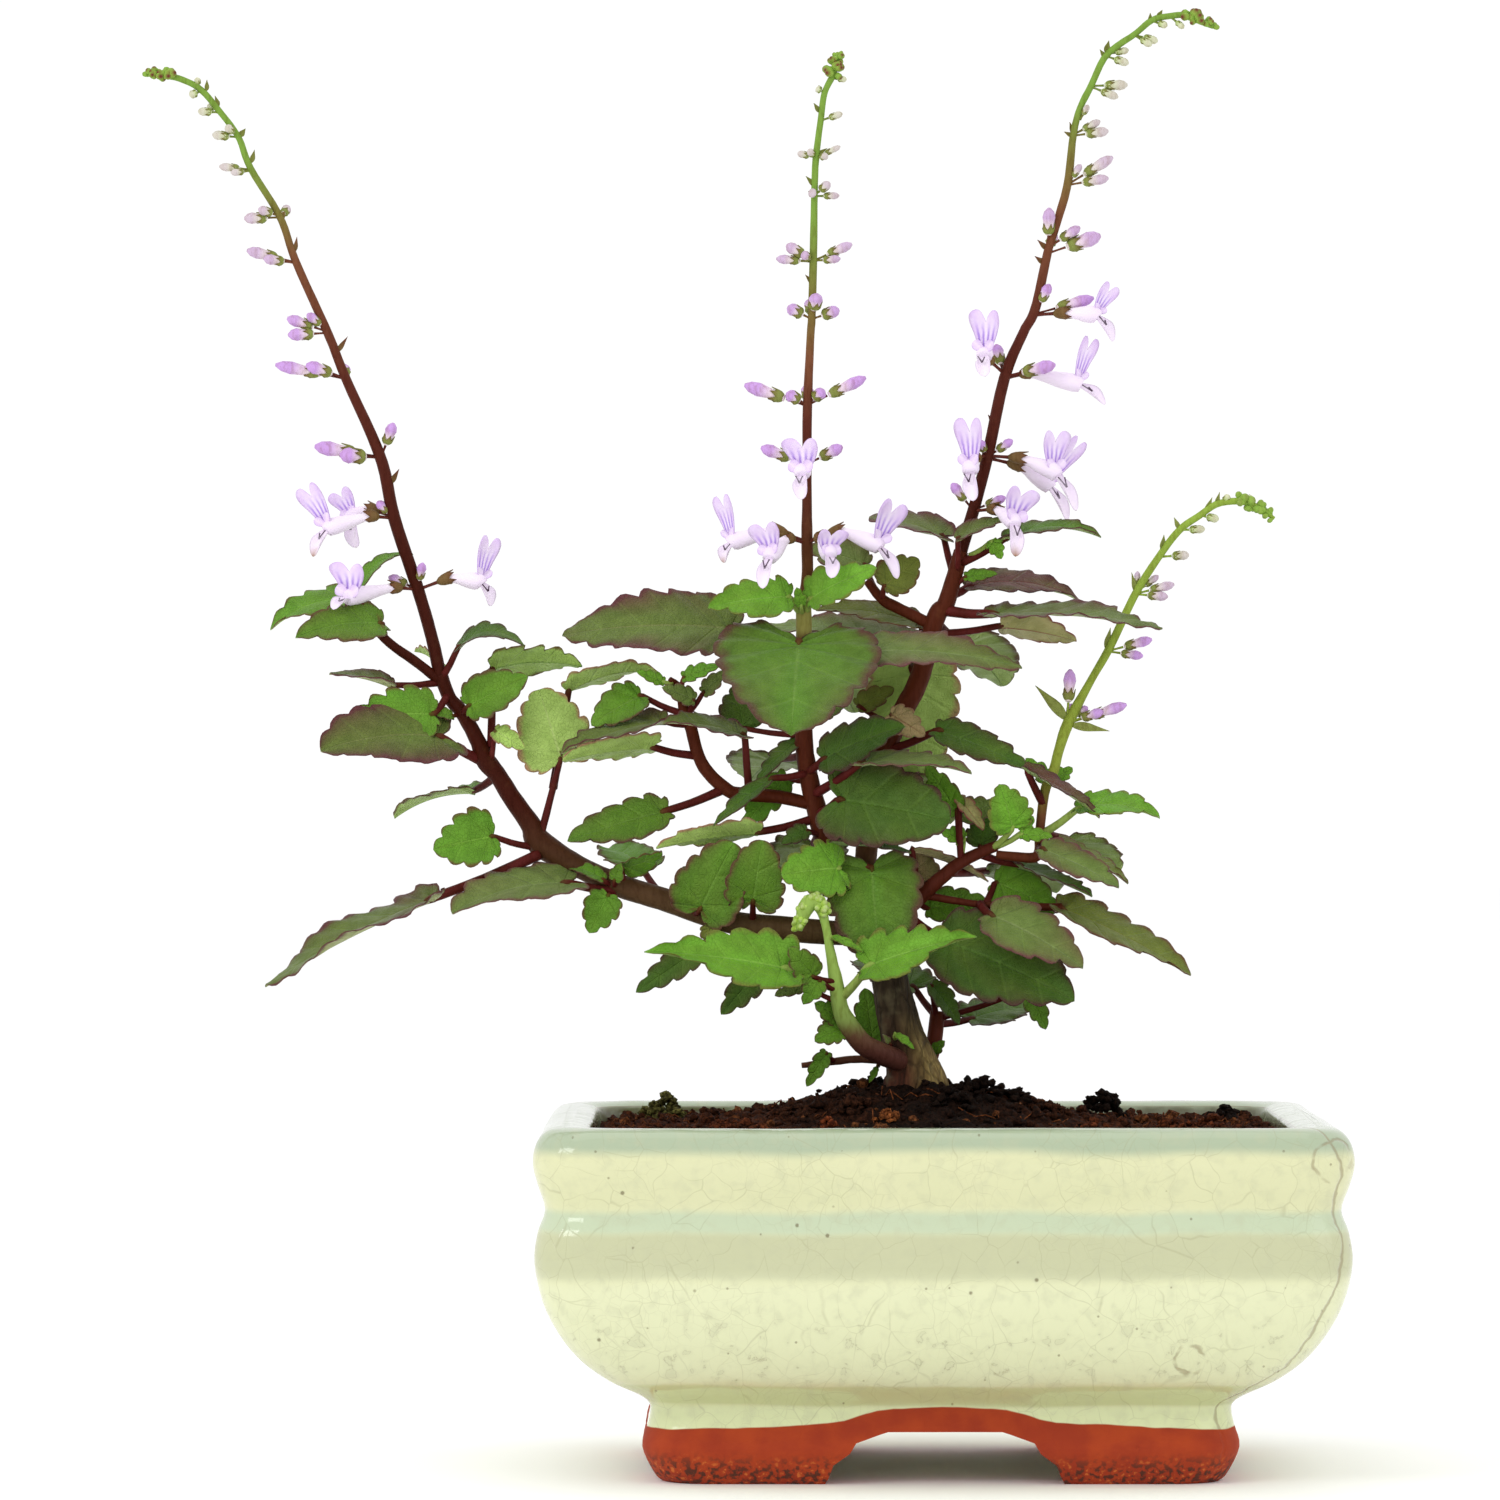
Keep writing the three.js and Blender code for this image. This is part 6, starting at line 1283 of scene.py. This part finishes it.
def drain_cutter(x):
    return solid([[(x + DRAIN_RADIUS * cosine, DRAIN_RADIUS * sine, z)
                   for turn, cosine, sine in circle(24)] for z in (RECESS_TOP - 2, POT_FLOOR + 2)])


def carve(mesh, cutters):
    """The mesh less every cutter, as a new mesh."""
    body = link("carving", mesh)
    tools = [link("carving_tool", shape.mesh("carving_tool")) for shape in cutters]
    for tool in tools:
        modifier = body.modifiers.new("cut", "BOOLEAN")
        modifier.operation = "DIFFERENCE"
        modifier.solver = "EXACT"
        modifier.object = tool
    graph = bpy.context.evaluated_depsgraph_get()
    result = bpy.data.meshes.new_from_object(body.evaluated_get(graph))
    for extra in [body, *tools]:
        bpy.data.objects.remove(extra)
    return result


def inside_pot(x, y, half):
    """Whether the place is within the rounded outline of this half length."""
    dx = max(abs(x - POT_CENTRE_X) - (half - CORNER_RADIUS), 0)
    dy = max(abs(y) - (half - POT_INSET - CORNER_RADIUS), 0)
    return math.hypot(dx, dy) <= CORNER_RADIUS


def wall_place(point):
    """Flat coordinates on the pot's wall: across, up, and the run past the start of the
    front right corner."""
    x = point.x - POT_CENTRE_X
    u = abs(x) + CORNER_RADIUS
    v = abs(point.y) + POT_INSET + CORNER_RADIUS
    if u - v >= CORNER_RADIUS:
        half = abs(x)
        past = CORNER_RADIUS * math.pi / 2 + half - POT_INSET - CORNER_RADIUS - abs(point.y)
    elif v - u >= CORNER_RADIUS:
        half = abs(point.y) + POT_INSET
        past = abs(x) - (half - CORNER_RADIUS)
    else:
        half = (u + v - math.sqrt(2 * CORNER_RADIUS ** 2 - (u - v) ** 2)) / 2
        past = CORNER_RADIUS * math.atan2(u - half, v - half)
    front_right = x > 0 and point.y < 0
    up = point.z + (BACK_OFFSET if point.y > 0 else 0)
    return Vector((math.copysign(half - CORNER_RADIUS + past, x), up,
                   past if front_right else NO_SEAM))


def make_pot(material):
    outside = loft(smooth_profile(POT_OUTSIDE, OUTSIDE_STEPS))
    inside = loft(smooth_profile(POT_INSIDE, INSIDE_STEPS) + [(68.8, RIM_TOP + 2)])
    mesh = carve(outside.mesh("pot_uncut"), [
        inside, recess_cutter(),
        arch_cutter(FRONT_ARCH, 60, False), arch_cutter(SIDE_ARCH, 85, True),
        drain_cutter(POT_CENTRE_X - DRAIN_X), drain_cutter(POT_CENTRE_X + DRAIN_X)])
    mesh.name = "pot_glazed"
    mesh.materials.clear()
    mesh.materials.append(material)
    bare = mesh.attributes.new("bare", "FLOAT", "POINT")
    inner = mesh.attributes.new("inner", "FLOAT", "POINT")
    wall = mesh.attributes.new("wall", "FLOAT_VECTOR", "POINT")
    for vertex, edge, stain, place in zip(mesh.vertices, bare.data, inner.data, wall.data):
        point = vertex.co / MM - SHIFT
        edge.value = point.z - GLAZE_EDGE - glaze_rise(point.x)
        if point.z > 50 and inside_pot(point.x, point.y, RIM_INSIDE):
            stain.value = min(1, (RIM_TOP - point.z) / 1.2)
        place.vector = wall_place(point)
        wave = 0.16 * rough(point, 24, 3) + 0.05 * rough(point, 7, 5)
        if point.z > GROUND + 2:
            vertex.co += vertex.normal * wave * MM
    mesh.set_sharp_from_angle(angle=math.radians(SHARP_ANGLE))
    dress("pot_glazed", mesh, "pot")


# Soil
PEAT = rgb(34, 22, 16)
BROWN_PEAT = rgb(66, 38, 24)
COIR = rgb(104, 54, 30)
BARK_CRUMB = rgb(150, 92, 52)
TRUNK_FOOT_X = -5
SOIL_OUTLINE = (8, (30, 42))
SOIL_RINGS = 46
SOIL_SKIRT = table("57 64.1  45 64.1  33 61.8  25 56.6  20 50.8  17 44.5", 2)

# Heaps of crumbs: x y radius height count, and the tone as a screen colour
SOIL_HEAPS = table("""
-10.8 -27 2.4 2.6 16 150 88 46  -21.3 -30 2 2 12 134 68 36  -17 -18 4.5 2.6 36 66 38 24
-27 -14 3.5 2.2 24 66 38 24  2 -16 5 2.2 40 34 22 16  8 -7 5 3.4 60 34 22 16
14 -4 4.5 2.8 40 34 22 16  20 -6 4 2 26 66 38 24  31.5 10 4.6 6.2 80 34 22 16
-14 6 4 2.4 26 34 22 16  -52.4 34 4.6 5.2 60 112 108 58  43 -22 4 2.2 30 104 54 30
50 -8 4 2.2 30 104 54 30  -40 -22 4 2.2 30 104 54 30  -34 -31 3 1.6 18 104 54 30
28 -26 4 1.8 24 104 54 30  55 22 4.5 3.2 40 34 22 16
""", 1, 1, 1, 1, 1, 3)


def soil_height(x, y):
    mound = 8.6 * math.exp(-0.9 * (((x - TRUNK_FOOT_X) / 27) ** 2 + (y / 24) ** 2))
    lumps = 0.75 * math.sin(x * 0.83 + y * 0.37) * math.sin(y * 0.71 - x * 0.21)
    return 63.2 + mound + lumps + 0.5 * math.sin(x * 1.9 + 1.3) * math.sin(y * 1.7 + 0.4)


def on_soil(x, y, above):
    return Vector((x, y, soil_height(x, y) + above))


def soil_tone(point):
    """Black peat round the trunk, reddish coir towards the ends."""
    far = min(1, abs(point.x + 2) / 42)
    mix = unit(far * 1.3 - 0.35 + 0.5 * rough(point, 5, 2))
    brown = max(0, 0.1 + 0.35 * far + 0.4 * rough(point, 2.2, 9))
    return PEAT.lerp(COIR, mix * 0.8).lerp(BROWN_PEAT, brown)


def crumb(shape, centre, size, tone, rows=4, columns=6):
    """An irregular grain on the soil."""
    spin = Matrix.Rotation(draw.random() * math.tau, 3, "Z")
    stretch = draw.uniform(0.7, 1.6)
    flat = draw.uniform(0.5, 1)
    rings = []
    for i in range(rows):
        tilt = math.pi * (i + 0.5) / rows
        ring = []
        for turn, cosine, sine in circle(columns):
            out = spin @ Vector((cosine * math.sin(tilt) * stretch, sine * math.sin(tilt),
                                 -math.cos(tilt) * flat))
            point = centre + out * size * (1 + 0.75 * rough(centre + out * size, size * 0.55, 4))
            ring.append(shape.add(point, tone * (1 + 0.35 * rough(point, 0.8, 6))))
        rings.append(ring)
    shape.stack(rings)


def soil_body(shape):
    """The uneven top in shrinking rings, and the skirt down to the pot's floor."""
    rings = []
    for i in range(SOIL_RINGS):
        k = 1 - i / SOIL_RINGS
        ring = []
        for x, y in pot_outline(SOIL_HALF, *SOIL_OUTLINE):
            point = Vector((POT_CENTRE_X + (x - POT_CENTRE_X) * k, y * k, 0))
            z = (soil_height(point.x, point.y) + 0.7 * rough(point, 2.6, 1)
                 + 0.45 * rough(point, 1.1, 2) - 1.2 * max(0, (k - 0.93) / 0.07))
            point.z = z if i else min(z, 62.9)
            ring.append(shape.add(point, soil_tone(point)))
        rings.append(ring)
    for z, half in SOIL_SKIRT:
        rings.insert(0, [shape.add(Vector((x, y, z)), PEAT)
                         for x, y in pot_outline(half, *SOIL_OUTLINE)])
    shape.stack(rings, lids=False)
    shape.face(rings[0][::-1])
    shape.fan(rings[-1], shape.add(on_soil(POT_CENTRE_X, 0, 0), PEAT))


def fibre(shape):
    """A coir fibre that lies on the soil, left out near the trunk and the wall."""
    x, y = (draw.uniform(*side) for side in FIBRE_FIELD)
    if math.hypot(x - TRUNK_FOOT_X, y) < FIBRE_CLEARANCE:
        return
    turn = draw.random() * math.tau
    length = draw.uniform(3, 8)
    bend = draw.uniform(-1.2, 1.2)
    path = []
    for i in range(5):
        share = i / 4 - 0.5
        px = x + math.cos(turn + bend * share) * length * share
        py = y + math.sin(turn + bend * share) * length * share
        if not inside_pot(px, py, SOIL_HALF - FIBRE_MARGIN):
            return
        path.append((on_soil(px, py, 0.55 + 0.5 * math.sin(i * 1.9)), 0.14))
    tube(shape, path, 4, lambda place, fraction: COIR.lerp(BARK_CRUMB, 0.4), 0)


def make_soil(material):
    shape = Shape()
    soil_body(shape)
    count = 0
    while count < SOIL_CRUMBS:
        x, y = (draw.uniform(*side) for side in CRUMB_FIELD)
        near_trunk = math.hypot(x - TRUNK_FOOT_X, y) < CRUMB_CLEARANCE
        if near_trunk or not inside_pot(x, y, SOIL_HALF - CRUMB_MARGIN):
            continue
        count += 1
        size = 0.3 + 1.1 * draw.random() ** 4
        point = on_soil(x, y, size * 0.25)
        tone = soil_tone(point)
        if draw.random() < 0.1:
            tone = tone.lerp(BARK_CRUMB, 0.55)
        crumb(shape, point, size, tone)
    for x, y, radius, height, count, tone in SOIL_HEAPS:
        for i in range(int(count)):
            turn = draw.random() * math.tau
            away = draw.random() ** 0.6
            up = height * (1 - away ** 1.5) * draw.uniform(0.5, 1)
            place = on_soil(x + math.cos(turn) * away * radius,
                            y + math.sin(turn) * away * radius, up)
            crumb(shape, place, draw.uniform(0.5, 1.05), rgb(*tone) * draw.uniform(0.7, 1.3))
    for i in range(SOIL_FIBRES):
        fibre(shape)
    dress("soil_crumbly", shape.mesh("soil_crumbly", [material]), "soil")


def make_trunk(material, sides=36):
    shape = Shape()
    path = [row for row in smooth_path(TRUNK, 0.9) if row[0].z > TRUNK_START]
    rings = []
    side = Vector((0, 1, 0))
    last = len(path) - 1
    for i, (centre, radius) in enumerate(path):
        along = (path[min(i + 1, last)][0] - path[max(i - 1, 0)][0]).normalized()
        side, other = around(along, side)
        flare = unit((76 - centre.z) / 10)
        ring = []
        for turn, cosine, sine in circle(sides):
            out = side * cosine + other * sine
            ridge = 0.05 * math.cos(5 * turn + 1) + 0.16 * flare * max(0, math.cos(2.5 * turn))
            point = centre + out * radius * (0.98 + ridge)
            furrow = rough(Vector((point.x, point.y, point.z * 0.3)), 1.3, 8)
            point += out * (0.14 * furrow + 0.08 * rough(point, 0.7, 3))
            low = unit((86 - point.z) / 12)
            right = unit(0.35 + 1.3 * out.x)
            tone = BARK.lerp(TRUNK_TAN, 0.85 * low * right).lerp(TRUNK_RED, 0.8 * low * (1 - right))
            ring.append(shape.add(point, tone.lerp(MAROON, max(0, (point.z - 98) / 30))))
        rings.append(ring)
    shape.stack(rings)
    dress("trunk_bark", shape.mesh("trunk_bark", [material]), "trunk")


# Tone of each stem by height
STEM_TONES = {
    "left_branch": [(100, OLIVE_BROWN), (124, DARK_MAROON)],
    "middle_stem": [(104, OLIVE_BROWN), (114, MAROON), (155, MAROON), (157.5, NODE_GREEN)],
    "right_stem": [(104, OLIVE_BROWN), (130, MAROON)],
    "side_branch": [(90, MAROON), (118, rgb(76, 30, 19))],
    "front_shoot": [(78, rgb(84, 48, 40)), (81.5, rgb(98, 70, 50)), (84, rgb(128, 150, 76)),
                    (92, YOUNG_STEM)],
    "base_twig": [(70, rgb(88, 50, 40)), (80, rgb(96, 62, 44))],
    "back_stub": [(70, rgb(104, 46, 36)), (86, MAROON)],
    "far_spike": [(112, MAROON), (122, rgb(108, 62, 40)), (132, rgb(132, 146, 54)),
                  (184, rgb(140, 168, 66))],
}
# Heights of the lowest and the highest buds, and tones by height
FAR_SPIKE_BUDS = (138, 178)
SPIKES = {
    "left": (175, 262, [(170, DARK_MAROON), (205, SPIKE_BROWN), (228, SPIKE_TAN), (238, OLIVE),
                        (247, SPIKE_GREEN)]),
    "middle": (172, 264, [(158.5, NODE_GREEN), (162, rgb(88, 56, 24)), (180, rgb(80, 40, 24)),
                          (196, SPIKE_BROWN), (209, SPIKE_TAN), (222, OLIVE), (236, SPIKE_GREEN)]),
    "right": (180, 272, [(178, DARK_MAROON), (215, SPIKE_BROWN), (236, SPIKE_TAN), (249, OLIVE),
                         (257, SPIKE_GREEN)]),
}


def make_leafy(shape, name, stops):
    if name == "front_shoot":
        tip_buds(shape, STEMS[name][0], count=54, reach=13, large=0.7, small=0.5,
                 tone=SHOOT_BUD, end_tone=BUD_GREEN)
    for rows in STEMS[name]:
        tube(shape, smooth_path(rows, 1.2), 14, lambda p, f: gradient(stops, p.z), STEM_SLOT,
             0.1, 1.8)
    for row in LEAVES[name]:
        leaf(shape, row)


def make_far_spike(shape, name, stops):
    stem = STEMS[name][0]
    path = smooth_path(stem[:-5] + tapered(stem[-5:]), 1.2)
    tube(shape, path, 12, lambda p, f: gradient(stops, p.z), STEM_SLOT, 0.03, 2.5)
    for row in LEAVES[name]:
        leaf(shape, row)
    for row in SPIKE_BUDS[name]:
        bud(shape, row, age_at(row[0][2], *FAR_SPIKE_BUDS), gradient(stops, row[0][2]))
    tip_buds(shape, stem, count=30, reach=12, large=0.8, small=0.45,
             tone=SPIKE_BUD, end_tone=CALYX_GREEN)
    for row in SPIKE_BRACTS[name]:
        bract(shape, row, CALYX_GREEN.lerp(CALYX_BROWN, 0.3))


def make_plant():
    plant_looks = [leaf_material(), stem_material()]
    petal_look = petal_material()
    for name, stops in STEM_TONES.items():
        shape = Shape()
        (make_far_spike if name == "far_spike" else make_leafy)(shape, name, stops)
        dress(name + "_grown", shape.mesh(name + "_grown", plant_looks), name)
    for side, (z_bloom, z_top, stops) in SPIKES.items():
        name = side + "_spike"
        shape = Shape()
        flowers = [row for row in FLOWERS if row[0].startswith(side)]
        spike(shape, SPIKE_STEM[name], SPIKE_BUDS[name], SPIKE_BRACTS[name], flowers, stops,
              z_bloom, z_top)
        dress(name + "_grown", shape.mesh(name + "_grown", plant_looks), name)
    for row in FLOWERS:
        shape = Shape()
        flower(shape, row)
        dress(row[0] + "_open", shape.mesh(row[0] + "_open", [petal_look]), row[0])


def make_floor(far=6.0):
    mesh = bpy.data.meshes.new("floor")
    corners = [(-far, -far, 0), (far, -far, 0), (far, far, 0), (-far, far, 0)]
    mesh.from_pydata(corners, [], [(0, 1, 2, 3)])
    s = Surface("pale_floor", Roughness=0.9, Specular_IOR_Level=0.1)
    mesh.materials.append(s.finish(s.blend(s.noise(40, 3), rgb(251, 251, 251), rgb(254, 254, 254))))
    link("floor", mesh)


def make_lamp(name, place, size, power):
    """A soft rectangle of light that faces the plant."""
    data = bpy.data.lights.new(name, "AREA")
    data.shape = "RECTANGLE"
    data.size, data.size_y = size
    data.energy = power
    lamp = link(name, data)
    lamp.location = place
    lamp.rotation_euler = (Vector((0, 0, 0.1)) - Vector(place)).to_track_quat("-Z", "Y").to_euler()


def make_light():
    world = bpy.data.worlds.new("white_studio")
    world.use_nodes = True
    background = world.node_tree.nodes["Background"].inputs
    background["Color"].default_value = (1, 1, 1, 1)
    background["Strength"].default_value = STUDIO_WHITE
    bpy.context.scene.world = world
    make_lamp("key_softbox", (-0.75, -0.75, 0.75), (0.7, 0.3), 3.3)
    make_lamp("fill_softbox", (0.85, -0.6, 0.55), (0.6, 0.6), 0.9)
    make_lamp("top_softbox", (0, 0.1, 1.1), (0.8, 0.8), 1.3)


def make_camera():
    data = bpy.data.cameras.new("photo_camera")
    data.lens = LENS
    data.sensor_width = 36
    data.clip_start = 0.05
    camera = link("photo_camera", data)
    camera.location = (Vector((VIEW_X, -VIEW_DISTANCE, VIEW_Z)) + SHIFT) * MM
    camera.rotation_euler = (math.pi / 2, 0, 0)
    bpy.context.scene.camera = camera


make_pot(pot_material())
make_soil(soil_material())
make_trunk(bark_material())
make_plant()
make_floor()
make_light()
make_camera()
bpy.context.scene.view_settings.view_transform = "Standard"
